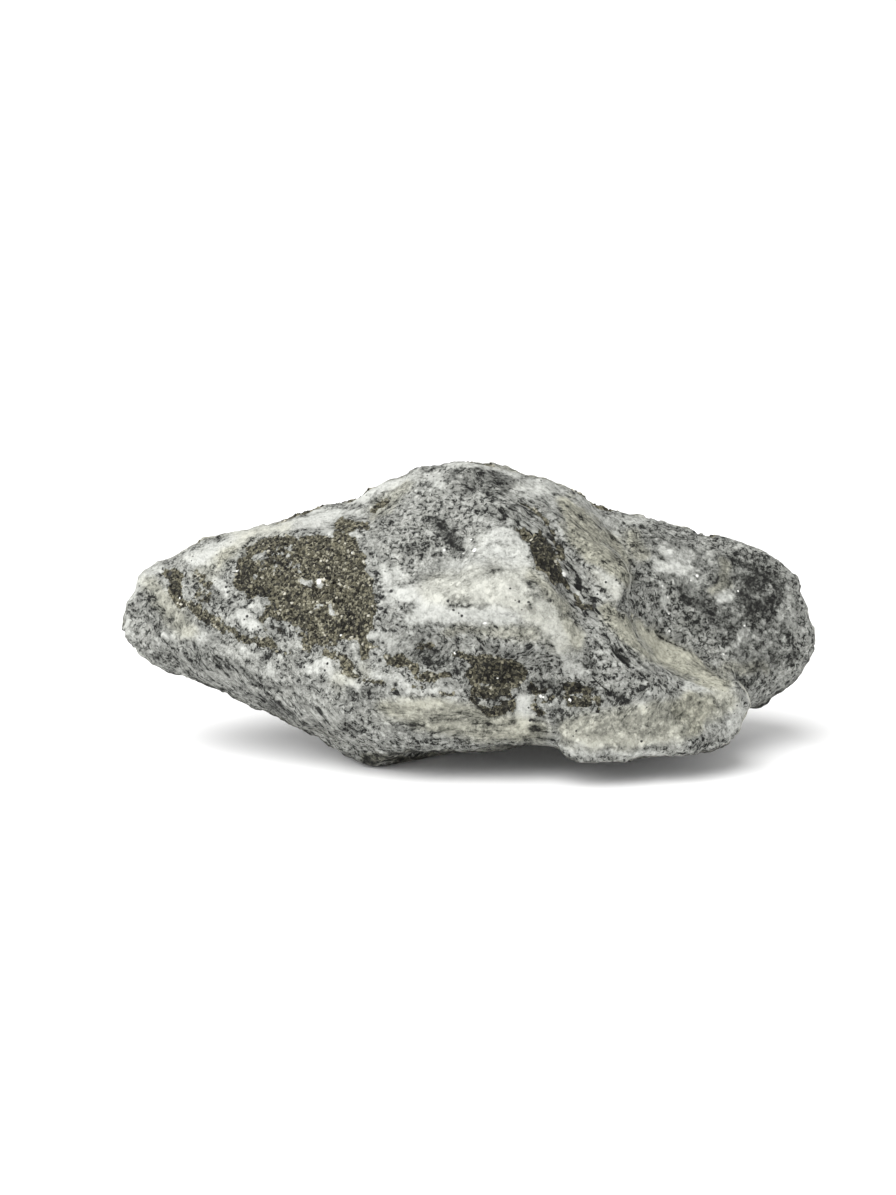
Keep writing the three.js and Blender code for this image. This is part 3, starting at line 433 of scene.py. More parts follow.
PYRITE = [  # 1 is a closed crust of grains
    # the broad field on the tapered end
    (1, 1.6, [[-41.4, 11.2, 1], [-38.6, 12.4, 1.2], [-35.6, 13, 1], [-33, 13.4, 0.8]]),
    (1, 1.6, [[-42, 8.4, 1.3], [-42, 5.4, 1.6], [-40.4, 3.6, 1.4]]),
    (1, 1.6, [[-38, 5.2, 2], [-35, 2.6, 2.4], [-31, 2, 2.6], [-34, 5.4, 2.2]]),
    (1, 1.6, [[-30.6, 8.4, 2.6], [-27, 9, 3.4], [-22, 9.4, 3]]),
    (1, 1.6, [[-30.6, 12.2, 1.8], [-26.4, 12.8, 2.2], [-22.4, 13, 2]]),
    (1, 1.4, [[-24.4, 16.2, 0.9], [-21.6, 16, 0.9], [-18.8, 15.8, 0.7]]),
    (1, 1.6, [[-26, 4, 3.2], [-21, 4.6, 3.4], [-19.6, 0.6, 2.8], [-26, -0.4, 3]]),
    (1, 1.6, [[-32, -1, 2.4], [-27, -3, 2.2], [-20.4, -2.8, 2.6]]),
    (1, 1.4, [[-37.4, 0, 1.4], [-34, -1, 1.2]]),
    (0.8, 2, [[-39, -1.2, 0.5], [-38.6, -3.4, 0.5]]),
    (1, 1.6, [[-20.4, -5.2, 0.8], [-25, -4.6, 1.1], [-28.6, -5, 1.1], [-30.6, -6.6, 0.8]]),
    (0.7, 2, [[-32, -4, 0.7], [-30, -7.6, 0.8]]),
    (0.7, 1.6, [[-39.4, 8, 1.6], [-35, 8.2, 1.8], [-33, 11, 1.2], [-37, 10.6, 0.8]]),
    (0.52, 1.6, [[-38.4, 9, 0.6], [-35.8, 10, 0.8], [-32.4, 9, 0.6], [-31, 6.4, 0.4]]),
    (0.1, 0.8, [[-31.4, 5.6, 0.6], [-29.6, 5.4, 0.5]]),
    (0, 0.6, [[-27.8, 5.6, 0.4], [-27.4, 4.8, 0.4]]),
    (0, 0.6, [[-28.8, 0.2, 0.4], [-27.8, 1.3, 0.4]]),
    (0, 0.8, [[-26.2, 0.8, 0.6], [-25.4, -0.6, 0.4]]),
    (0.35, 1.2, [[-37, -3, 0.8], [-35, -3.8, 1.1]]),
    (0, 0.8, [[-26.4, 16, 0.7], [-25.6, 14.6, 0.5]]),
    (0, 0.7, [[-22, 14.4, 0.4], [-20.4, 13.8, 0.4]]),
    (0.1, 0.8, [[-39.4, 1.1, 0.7], [-41, 0.6, 0.5]]),
    (0.1, 0.9, [[-42.8, -0.6, 1], [-41.6, -2, 1.5], [-39.8, -3, 0.9]]),
    # the small patch and the band that leads from it
    (1, 1.2, [[-57.4, 7.4, 0.8], [-55.8, 6.8, 1.4], [-54.4, 5.8, 0.9]]),
    (1, 1.2, [[-55, 5.2, 1.1], [-54.8, 3, 1.4], [-53.6, 1.2, 1]]),
    (0.55, 2, [[-51.4, 6.4, 1], [-49, 5, 1], [-50, 2.4, 1.6]]),
    (1, 1.6, [[-52, 0.4, 0.9], [-50, -1, 1.2], [-47.6, -2.2, 0.9]]),
    (0.9, 1.4, [[-47, -3, 0.7], [-44.6, -4.2, 0.9]]),
    (0.8, 1.6, [[-43.4, -5.4, 0.6], [-40, -5.4, 0.8], [-37.6, -6.4, 0.7], [-36, -7.4, 0.5]]),
    (0.3, 1.6, [[-38, -8.4, 0.7], [-34, -8.6, 0.7], [-30.6, -8.6, 0.7]]),
    # scattered below the field
    (0.6, 1.6, [[-27.6, -6.4, 0.6], [-24.6, -6.6, 0.6]]),
    (0.85, 1.4, [[-27.4, -8.2, 0.6], [-23.4, -9.2, 1], [-22, -11, 0.8]]),
    (1, 1.2, [[-19.6, -6, 1.1], [-19.2, -8.6, 0.9]]),
    (0.9, 1.2, [[-18, -7.4, 0.7], [-16.6, -7, 0.5]]),
    (0.9, 1.4, [[-23.2, -12, 0.5], [-20.8, -12.6, 0.6]]),
    (1, 1.4, [[-14.4, -9.8, 1], [-11.6, -9.8, 1.2], [-9.6, -11, 1]]),
    (0.9, 1.4, [[-8.8, -12.6, 0.8], [-5.6, -12.8, 0.6], [-2.6, -12.4, 0.6]]),
    (0.75, 1.6, [[-19.4, -13.4, 0.6], [-17, -13.8, 0.6], [-14, -14.8, 0.6]]),
    (0.55, 1.6, [[-9, -7, 0.8], [-6, -6.6, 0.7]]),
    (0.9, 1, [[-4.4, -15.9, 0.3], [-2.4, -15.9, 0.3]]),
    (0.45, 1.6, [[-12, -14.6, 0.5], [-8, -14.4, 0.5]]),
    # the low middle
    (1, 1.4, [[-1.8, -8.4, 0.5], [0.6, -8.8, 0.8], [3.4, -10, 1.3], [8, -10.2, 1.3], [10.6, -10.8, 0.8]]),
    (1, 1.6, [[1.8, -12.2, 1.4], [6, -12.4, 2.2], [9.6, -12.6, 1.8]]),
    (1, 1.4, [[1.6, -15, 0.9], [4, -15.8, 1.1], [8, -15.4, 1]]),
    (1, 1, [[1.6, -16.6, 0.5], [2, -18.2, 0.5], [4, -19.4, 0.7], [7, -18.8, 1], [9, -17.4, 0.6]]),
    (1, 1.2, [[12.6, -14.8, 0.7], [14.2, -15.6, 0.7], [16, -15.2, 0.5]]),
    (1, 1, [[13.4, -16.6, 0.4], [13.6, -18.6, 0.4], [15, -19.8, 0.4]]),
    (0.9, 1, [[15.4, -17.6, 0.5], [16.8, -16.6, 0.4]]),
    (1, 1.2, [[18.6, -14.2, 0.7], [21.4, -14.6, 1], [24, -14.8, 0.7]]),
    (1, 1.2, [[19.4, -16, 0.8], [20.6, -17.6, 0.9], [23.4, -18, 0.8]]),
    (0.85, 1.2, [[23.4, -16.2, 0.6], [25.6, -17.2, 0.7], [25.4, -19, 0.4]]),
    # the valley beside the white hump
    (1, 1, [[10, 15.5, 0.25], [11.4, 14.9, 0.4], [12.8, 13.6, 0.5]]),
    (0.9, 1.2, [[10, 20.6, 0.3], [12, 19.8, 0.4], [14, 18.4, 0.5], [16, 16.4, 0.5]]),
    (1, 1.4, [[14.2, 14.4, 0.9], [14.6, 12, 1.5], [15.4, 9.6, 1.8], [16.6, 7.4, 1.4]]),
    (1, 1.2, [[16.8, 6.4, 0.8], [18.4, 5.4, 0.6], [19.6, 4.4, 0.4]]),
    (0.9, 1.2, [[16.6, 15, 0.6], [17.4, 12.6, 0.7], [18.4, 10, 0.6]]),
    (0.8, 1.2, [[21.4, 3, 0.6], [22.4, 1, 0.7], [24.4, 0.4, 0.6]]),
    # crown, left
    (0.9, 1.2, [[-17.8, 18.8, 0.5], [-16, 19.9, 0.6], [-14.6, 21, 0.35]]),
]
# near-black soot in streaks and specks, and beside the nub one stroke of painted shadow
SOOT_AND_SHADE = [  # 1 is near-black rock, in streaks and specks
    (0.55, 0.8, [[20.8, 1.6, 0.6], [21.8, 0, 0.6], [23, -0.8, 0.4]]),
    (0.55, 0.8, [[24, 3, 0.4], [25, 1, 0.5], [25, -0.4, 0.4]]),
    (0.7, 0.8, [[19.4, 9.4, 0.4], [21, 7, 0.4], [22.4, 4.4, 0.5]]),
    (0.4, 1.2, [[22.4, 0, 1], [25.4, -3.6, 0.8], [28.8, -7.6, 0.9], [32.4, -11.2, 1], [36, -14.4, 0.9]]),
    (0.6, 0.8, [[25.6, -3.6, 0.2], [28, -7, 0.5], [30.2, -9.6, 0.6], [33, -11.6, 0.3], [36, -13.8, 0.3]]),
    (0.8, 0.5, [[33.6, -14.8, 0.5], [34.6, -14.2, 0.3]]),
    (0.8, 0.5, [[24, -12.8, 0.3], [26, -14.2, 0.3], [27.6, -15.8, 0.3]]),
    (0.5, 1, [[28.8, -16.6, 0.8], [30.8, -17.2, 1]]),
    # painted shadow beside the nub, where it overhangs
    (0.7, 0.7, [[31, 4, 0.3], [31.2, 1.6, 0.4]]),
    (0.8, 0.5, [[-56, 7, 0.45]]),
    (0.7, 0.4, [[-61.4, 4, 0.15], [-58.6, 1.6, 0.15], [-56.6, -1.6, 0.12]]),
    (0.6, 0.4, [[-58.2, 8, 0.15], [-57.2, 9.2, 0.12]]),
    (0.6, 0.6, [[-63.4, 0.6, 0.2], [-63.2, -0.8, 0.2]]),
    (0.5, 0.4, [[-56.4, -2, 0.12], [-54.6, -4.4, 0.12]]),
    (0.5, 0.8, [[41.4, 3.8, 0.4], [43, 1.6, 0.6]]),
    (0.8, 0.4, [[37, -4.4, 0.2], [39.4, -5.9, 0.25], [42, -6.9, 0.2]]),
    (0.5, 0.5, [[58.4, 3.6, 0.3], [59.4, 1.6, 0.3]]),
    (0.6, 0.6, [[53.2, -13, 0.4], [54, -13.8, 0.4]]),
    (0.8, 0.5, [[12, 12.8, 0.4], [13.6, 10, 0.4]]),
    (0.8, 0.4, [[-16, 11.6, 0.15], [-12.6, 9.4, 0.2]]),
]
LEVEL_FIBRES = [  # ribs that run along the stone
    (1, 4, [[-16, -20, 1.6], [-6, -21, 3.4], [4, -22, 3], [15, -22.6, 2.6]]),
]
FALLING_FIBRES = [  # ribs that fall towards the blunt end
    (1, 2.6, [[4, 20, 1.6], [10, 18.6, 2], [14, 14, 2], [19, 8, 2.4], [24, 0, 2.4]]),
    (0.8, 3, [[0, 25, 2.4], [8, 23, 2.4], [18, 20, 2.4], [26, 14, 3], [29, 8, 2]]),
    (0.8, 3, [[26, -5, 1.6], [31, -9, 2.4], [38, -9, 3], [46, -12, 2.4]]),
    (0.8, 3, [[-60, 2, 2.6], [-56, -4, 2.4], [-50, -6, 2]]),
    (0.7, 3, [[-54, -10, 1.8], [-44, -13, 2.8], [-34, -18, 2.8], [-24, -22, 2.4]]),
    (0.6, 2, [[-14, -16, 1.4], [-8, -18, 1.4]]),
]
RISING_FIBRES = [  # ribs that climb towards the blunt end
    (1, 2.6, [[2, -13.6, 2], [6, -10.6, 3], [11, -8, 2]]),
    (0.35, 3, [[-28, 15, 1.6], [-20, 18.6, 3], [-12, 22, 2.4]]),
    (0.6, 3, [[-12, -6, 2.4], [-4, -8, 2.4]]),
    (0.8, 3, [[20, -22, 2], [28, -20, 2.4], [36, -18, 2.4], [44, -19, 2.4]]),
]
PEPPER = [  # how thick the black specks lie
    (0.12, 4, [[-8, 2, 5], [8, 4, 6], [18, -6, 3]]),
    (0.7, 3, [[-20, -12, 3], [-10, -13, 3], [-3, -14, 2]]),
    (0.55, 4, [[-14, 14, 3], [-6, 15, 5], [0, 18, 4]]),
    (0.8, 3, [[12, 19, 2], [16, 12, 2.6], [21, 5, 2.6], [25, -2, 2.4], [29, -11, 3]]),
    (0.5, 3, [[14, -11, 3], [22, -15, 3], [34, -14, 3]]),
    (0.1, 3, [[-14, -20, 3], [10, -22, 3], [30, -22, 5], [46, -20, 4]]),
    (0, 4, [[36, 12, 3], [46, 6, 6], [56, 0, 8], [56, -8, 5]]),
    (0.3, 3, [[-58, 0, 4], [-50, -6, 3], [-44, -14, 4], [-30, -20, 4]]),
]
SMOOTH = [  # 1 is rock so even that hardly any lace shows
    (0.6, 4, [[36, 12, 3], [46, 6, 6], [56, 0, 8], [56, -8, 5]]),
    (0.5, 3, [[-60, 0, 3], [-54, -4, 3], [-48, -6, 2]]),
    (0.7, 2, [[-6, 24, 2], [2, 25, 2], [8, 24, 2]]),
    (0.6, 2, [[-8, 7.6, 2], [0, 8, 2]]),
    (0.5, 2, [[-24, -16, 2], [-18, -17, 2]]),
    (0.7, 2, [[20, -23.4, 2.4], [30, -24, 3.4], [40, -22, 3.4], [50, -19, 2]]),
    (0.5, 2, [[-8, 1, 3], [6, 4, 5], [17, -4, 2.4]]),
]
CRACKS = [  # open cracks and the sharp foot of the tan ridge
    [[-61.4, 4, 0.3], [-58.6, 1.6, 0.35], [-56.6, -1.6, 0.3], [-54.6, -4.4, 0.2]],
    [[32.4, -1.6, 0.2], [35, -3.6, 0.3], [38, -5.2, 0.4], [41, -6.4, 0.3]],
    [[42, -6.6, 0.3], [45, -8.4, 0.35], [48, -11.4, 0.4], [51.4, -14.4, 0.3]],
    [[25.4, -3.4, 0.25], [28.8, -7.4, 0.4], [32.4, -10.6, 0.35], [36, -13.8, 0.2]],
    [[-42, -12.2, 0.3], [-39.4, -14.4, 0.35], [-36, -15.6, 0.3], [-33, -15.2, 0.2]],
    [[19.4, -22.4, 0.2], [21.4, -23.8, 0.2]],
    [[-16.6, 11.6, 0.2], [-13.4, 9.4, 0.25]],
    [[18, -21.6, 0.5], [17.2, -24, 0.6]],
    [[10, 15.4, 0.3], [12.6, 13.8, 0.4], [13.6, 11, 0.3]],
    [[31.6, 9, 0.2], [32.6, 6, 0.5], [31.4, 2.6, 0.6], [29.6, 0.4, 0.4]],
]

WHOLE_FRONT = 80  # millimetres, a stroke that covers all of the front
CLOUD_SPACING = 15
BLOT_SPACING = 11
BLOT_LEVEL = 0.16  # pyrite lies where the blots are above this
STAIN_SPACING = 22
SOOT_SPACING = 5
SOOT_LEVEL = 0.5
PEPPER_ELSEWHERE = 0.4
SHADE_FACING = (0.3, 0.4)  # how far down a face looks before painted shade darkens it, and the fade
SHADE_HEIGHT = (22, 8)  # the height that the painted shade reaches, and the fade below it
SHADE_PALENESS = 0.12
SHADE_WARMTH = 0.7


def on_front(value, strokes):
    """The strokes, with one of that value under them which covers the whole front."""
    return [(value, 1, [[0, 0, WHOLE_FRONT]])] + strokes


def by_chance(field, middle, swing, least, most):
    """A patchwork for the back: the noise about a middle value, held between two limits."""
    return np.clip(middle + swing * field, least, most)


# round the back, which nobody has placed patches on, the same minerals lie by chance
clouds = rough(spots, CLOUD_SPACING, 3, 3)
blots = rough(spots, BLOT_SPACING, 23, 3)
stains = rough(spots, STAIN_SPACING, 61, 2)
streaks = rough(spots, SOOT_SPACING, 83, 2)
back = by_chance(clouds, middle=0.58, swing=0.7, least=0.34, most=0.95)
paleness = laid(back, on_front(0.52, PALENESS))
back = by_chance(stains, middle=0.35, swing=0.9, least=0, most=1)
warmth = laid(back, on_front(0, WARMTH))
back = by_chance(blots - BLOT_LEVEL, middle=0, swing=7, least=0, most=1)
back *= by_chance(clouds, middle=1.6, swing=-4, least=0, most=1)
pyrite = laid(back, on_front(0, PYRITE))
back = by_chance(streaks - SOOT_LEVEL, middle=0, swing=1.5, least=0, most=0.35)
soot_and_shade = laid(back, on_front(0, SOOT_AND_SHADE))
back = by_chance(stains, middle=0.5, swing=1.5, least=0, most=1)
level = laid(back, on_front(0, LEVEL_FIBRES))
back = by_chance(stains, middle=0.1, swing=-1.5, least=0, most=1)
falling = laid(back, on_front(0.15, FALLING_FIBRES))
rising = laid(np.zeros(len(spots)), RISING_FIBRES)
back = by_chance(stains, middle=0.3, swing=-1.5, least=0, most=0.5)
smooth = laid(back, on_front(0, SMOOTH))
pepper = laid(np.full(len(spots), PEPPER_ELSEWHERE), PEPPER)

# painted shade: low faces that look down are made dark and tan, for the shadow under the stone
painted_underside_shade = np.clip((-outward[:, 2] - SHADE_FACING[0]) / SHADE_FACING[1], 0, 1)
painted_underside_shade *= np.clip((SHADE_HEIGHT[0] - spots[:, 2]) / SHADE_HEIGHT[1], 0, 1)
painted_underside_shade *= 1 - front
paleness += (SHADE_PALENESS - paleness) * painted_underside_shade
pyrite *= 1 - painted_underside_shade
warmth += (SHADE_WARMTH - warmth) * painted_underside_shade

# relief, in millimetres along the skin's own outward direction
SLOPE_OF_FIBRES = math.radians(-48)
RIB_SQUEEZE = 0.16  # how much the noise shrinks along the fibres, which makes long ribs
FALLING_RIBS = 1.3  # how much higher the ribs on a slope are
CHIP_BEND = 1.2  # how much the edges of the chips wander
CHIPLET_BEND = 0.5
PIT_RIM = 0.15  # where the noise is cut off, so that the pits lie in a flat surface
PITTED = 1.3  # how much grey rock is pitted, white rock less by 1
GRITTY = 0.5  # how gritty plain rock is, a crust more by 1
CRUST_DROP = 0.15  # how far the skin lies back under the pyrite
CRACK_WIDTH = 0.8
PAINTED_HOLLOW_SHADE = 0.5  # painted shade: how much paler a millimetre's rise makes the skin, and a hollow darker
SEAT = (0.35, 1.5)  # the height up to which the stone is ground flat, and the fade above it
fall = np.array([math.cos(SLOPE_OF_FIBRES), 0, math.sin(SLOPE_OF_FIBRES)])
along_fall = (spots @ fall)[:, None] * fall
level_places = spots * [RIB_SQUEEZE, 1, 1]
falling_places = spots - (1 - RIB_SQUEEZE) * along_fall
relief = LUMP[1] * rough(spots, LUMP[0], 5)
relief += CHIP[1] * facets(spots + CHIP_BEND * wander, CHIP[0])
small = CHIPLET[1] * facets(spots + CHIPLET_BEND * wander, CHIPLET[0], 31)
small += PIT[1] * np.minimum(rough(spots, PIT[0], 17), PIT_RIM) * (PITTED - paleness)
small += GRIT[1] * rough(spots, GRIT[0], 29, 2) * (GRITTY + pyrite)
relief += small
# painted shade in the small hollows, and painted light on the small rises
paleness += PAINTED_HOLLOW_SHADE * small
relief += FIBRE[1] * rough(level_places, FIBRE[0], 7, 2) * level
relief += FIBRE[1] * FALLING_RIBS * rough(falling_places, FIBRE[0], 13, 2) * falling
relief -= CRUST_DROP * pyrite
for crack in CRACKS:
    off = to_stroke(patch_places, crack)
    relief -= CRACK_DEPTH * np.clip(0.5 - off / CRACK_WIDTH, 0, 1) * front
relief *= np.clip((spots[:, 2] - SEAT[0]) / SEAT[1], 0, 1)

moved = spots + outward * relief[:, None]
moved[:, 2] = np.maximum(moved[:, 2], 0)
skin.vertices.foreach_set("co", (moved * MM).ravel())
skin.update()
for polygon in skin.polygons:
    polygon.use_smooth = True

masks = {
    "paleness": paleness,
    "warmth": warmth,
    "pyrite": pyrite,
    "soot_and_shade": soot_and_shade,
    "level_fibres": level,
    "falling_fibres": falling,
    "rising_fibres": rising,
    "pepper": pepper,
    "smooth": smooth,
}
for name, values in masks.items():
    layer = skin.attributes.new(name, "FLOAT", "POINT")
    layer.data.foreach_set("value", values.astype(np.float32))

stone = bpy.data.objects.new("stone_skin", skin)
bpy.context.scene.collection.objects.link(stone)


def tone(code):
    """A colour given as sRGB hex, as the linear colour that a shader takes."""
    parts = [int(code[i : i + 2], 16) / 255 for i in (1, 3, 5)]
    return [p / 12.92 if p <= 0.04045 else ((p + 0.055) / 1.055) ** 2.4 for p in parts] + [1]


def add(tree, kind, inputs=None, stops=(), **settings):
    """A node with its settings, a ramp's [place, colour] stops, and inputs linked or set."""
    node = tree.nodes.new(kind)
    for name, value in settings.items():
        setattr(node, name, value)
    for socket, value in (inputs or {}).items():
        if isinstance(value, bpy.types.Node):
            value = value.outputs[0]
        if isinstance(value, bpy.types.NodeSocket):
            tree.links.new(value, node.inputs[socket])
        else:
            node.inputs[socket].default_value = value
    for _ in stops[2:]:
        node.color_ramp.elements.new(0.5)
    for order, (place, code) in enumerate(stops):
        node.color_ramp.elements[order].position = place
        node.color_ramp.elements[order].color = tone(code)
    return node


# Rough calcite and lazurite rock, broken and unpolished: matt, clouded over a few millimetres,
# with sugary grains of about 1 mm and a fine black lace between them where the rock is grey.
# A pattern's scale is one over its size in millimetres.
CLOUDS = {"Scale": 1 / 5, "Detail": 4, "Roughness": 0.6, "Distortion": 0.6}
MOTTLING = {"Scale": 1 / 1.7, "Detail": 5, "Roughness": 0.7, "Distortion": 0.4}
FINE_GRAIN = {"Scale": 1 / 0.6, "Detail": 3, "Roughness": 0.7}
LACE = {"Scale": 1 / 0.95, "Detail": 4, "Roughness": 0.8, "Distortion": 0.6}
RIBS = {"Scale": 1 / 0.95, "Detail": 4, "Roughness": 0.75, "Distortion": 0.6}
DRIFT = {"Scale": 1 / 6.5, "Detail": 2, "Roughness": 0.5}
BED_GRIT = {"Scale": 1 / 0.55, "Detail": 3, "Roughness": 0.65, "Distortion": 0.8}
CRUST_RAGS = {"Scale": 1 / 1.9, "Detail": 5, "Roughness": 0.75}
DRAWN_OUT = 0.22  # how much a pattern shrinks along the fibres
CLOUDED = 0.3  # how much the clouds and the mottling change the lightness
MOTTLED = 0.7
SUGAR_MM = 1.25  # the sugary grains
SUGAR_RAGGED = 1.4  # how ragged they are
SUGAR_SIZES = 0.3  # how much they differ in size
SUGAR_EDGE = {"From Min": 0.6, "From Max": 0.35}  # where one ends, and where it is whole
PALE_SUGAR = 0.4  # the share of them that is paler
PALE_LIFT = 0.18  # how much paler
SMOOTH_LIFT = 0.14  # and how much more where the rock is smooth
GRAIN_MM = 0.42  # single mineral grains
GRAIN_SWING = 0.22  # how much lighter or darker one is than the next
LACE_DEPTH = {  # how much the lace darkens grey rock, and how much white rock
    "From Min": 0.4,
    "From Max": 0.72,
    "To Min": 0.5,
    "To Max": 0.08,
}
LACED = {"From Min": 0.49, "From Max": 0.6}  # where the lace starts, and where it is full
LACED_SHARE = 0.45  # the lace's mean
LACE_ON_TAN = -0.8  # how much of it goes where the rock is tan
LACE_DRIFTS = {"From Min": 0.3, "From Max": 0.6}  # where the lace is thin, and where thick
THIN_LACE = 0.35
THICKER_LACE = 1.1  # how much is added to that where it is thick
EVENNESS = 0.65  # how much of the lace goes where the rock is smooth
LACE_SWING = -1.3  # the soft part of the lace
CRISP = {"From Min": 0.535, "From Max": 0.565}  # the sharp part of the lace
CRISP_DEPTH = 0.7  # how much black it adds to grey rock
CRISP_SHARE = 0.3  # the share of the rock that it covers
CRISP_ROCK = {"From Min": 0.74, "From Max": 0.4}  # the paleness of rock with none, and with all
THREAD_EDGE = {"From Min": 0.022, "From Max": 0}
THREAD_DRIFTS = {"From Min": 0.55, "From Max": 0.42}  # where no threads are, and where all are
THREAD_DEPTH = -0.22
CONTRAST = (0.8, 0.125)  # what the lightness is multiplied by, and what is added to it
ROCK_TONES = [  # from the black lace to clean calcite
    [0.0, "#0c0c0a"],
    [0.19, "#20201e"],
    [0.29, "#3a3b37"],
    [0.43, "#636460"],
    [0.61, "#888984"],
    [0.75, "#a2a39e"],
    [0.88, "#b4b5b0"],
    [1.0, "#c2c3be"],
]
IRON_STAIN = "#fffcee"
STAIN_CLOUDED = 0.4
SPECK_MM = 1.1  # spacing of the black specks
SPECKED_SHARE = 0.6
SPECK_SIZES = (0.25, 0.12)  # how much the size differs, and the smallest, as shares of 1.1 mm
SPECK_EDGE = {"From Min": 0.06, "From Max": -0.06}
SPECK_COVER = 0.9
SPECK_COLOUR = "#222220"
SOOT_AND_SHADE_RAGGED = (1.2, 1.6)  # how much the mottling and the lace break it up
SOOT_AND_SHADE_EDGE = {"From Min": 0.45, "From Max": 0.6}
SOOT_AND_SHADE_COLOUR = "#52524e"
CRUST_EDGE = 7.0  # how far the crust's edge wanders, and how open it is inside that
CRUST_GAPS = 2.4
CRUST_LEVEL = 0.52  # where the crust's pattern is closed
BED_EDGE = {"From Min": 0.45, "From Max": CRUST_LEVEL}
BED_BY_ROCK = -0.4  # the bed is darker where the rock is grey
BED_TONES = [  # the grit between the pyrite grains, from pale to black
    [0.34, "#908d7c"],
    [0.42, "#696655"],
    [0.5, "#4e4c40"],
    [0.55, "#25241c"],
    [0.62, "#12110d"],
]
FINE_RELIEF = 0.6  # how much of the fine pattern and the lace are in the relief of the mottling
LACE_RELIEF = -0.5
RELIEF_STRENGTH = 0.8
RELIEF_MM = 0.5
ROCK_ROUGHNESS = (-0.3, 0.85)  # how much the mottling changes it, and the roughest
ROCK_SHINE = 0.25


def crust_pattern(tree, mm, share):
    """Where the pyrite is closed: the mask with its edge broken up grain by grain."""
    rags = add(tree, "ShaderNodeTexNoise", {"Vector": mm, **CRUST_RAGS})
    bare = add(tree, "ShaderNodeMath", {0: 1, 1: share}, operation="SUBTRACT")
    edge = add(tree, "ShaderNodeMath", {0: share, 1: bare}, operation="MULTIPLY")
    inside = add(tree, "ShaderNodeMath", {0: share, 1: CRUST_GAPS}, operation="MULTIPLY")
    reach = add(
        tree, "ShaderNodeMath", {0: edge, 1: CRUST_EDGE, 2: inside}, operation="MULTIPLY_ADD"
    )
    middled = add(tree, "ShaderNodeMath", {0: rags, 1: 0.5}, operation="SUBTRACT")
    wandering = add(tree, "ShaderNodeMath", {0: middled, 1: reach}, operation="MULTIPLY")
    return add(tree, "ShaderNodeMath", {0: share, 1: wandering}, operation="ADD")


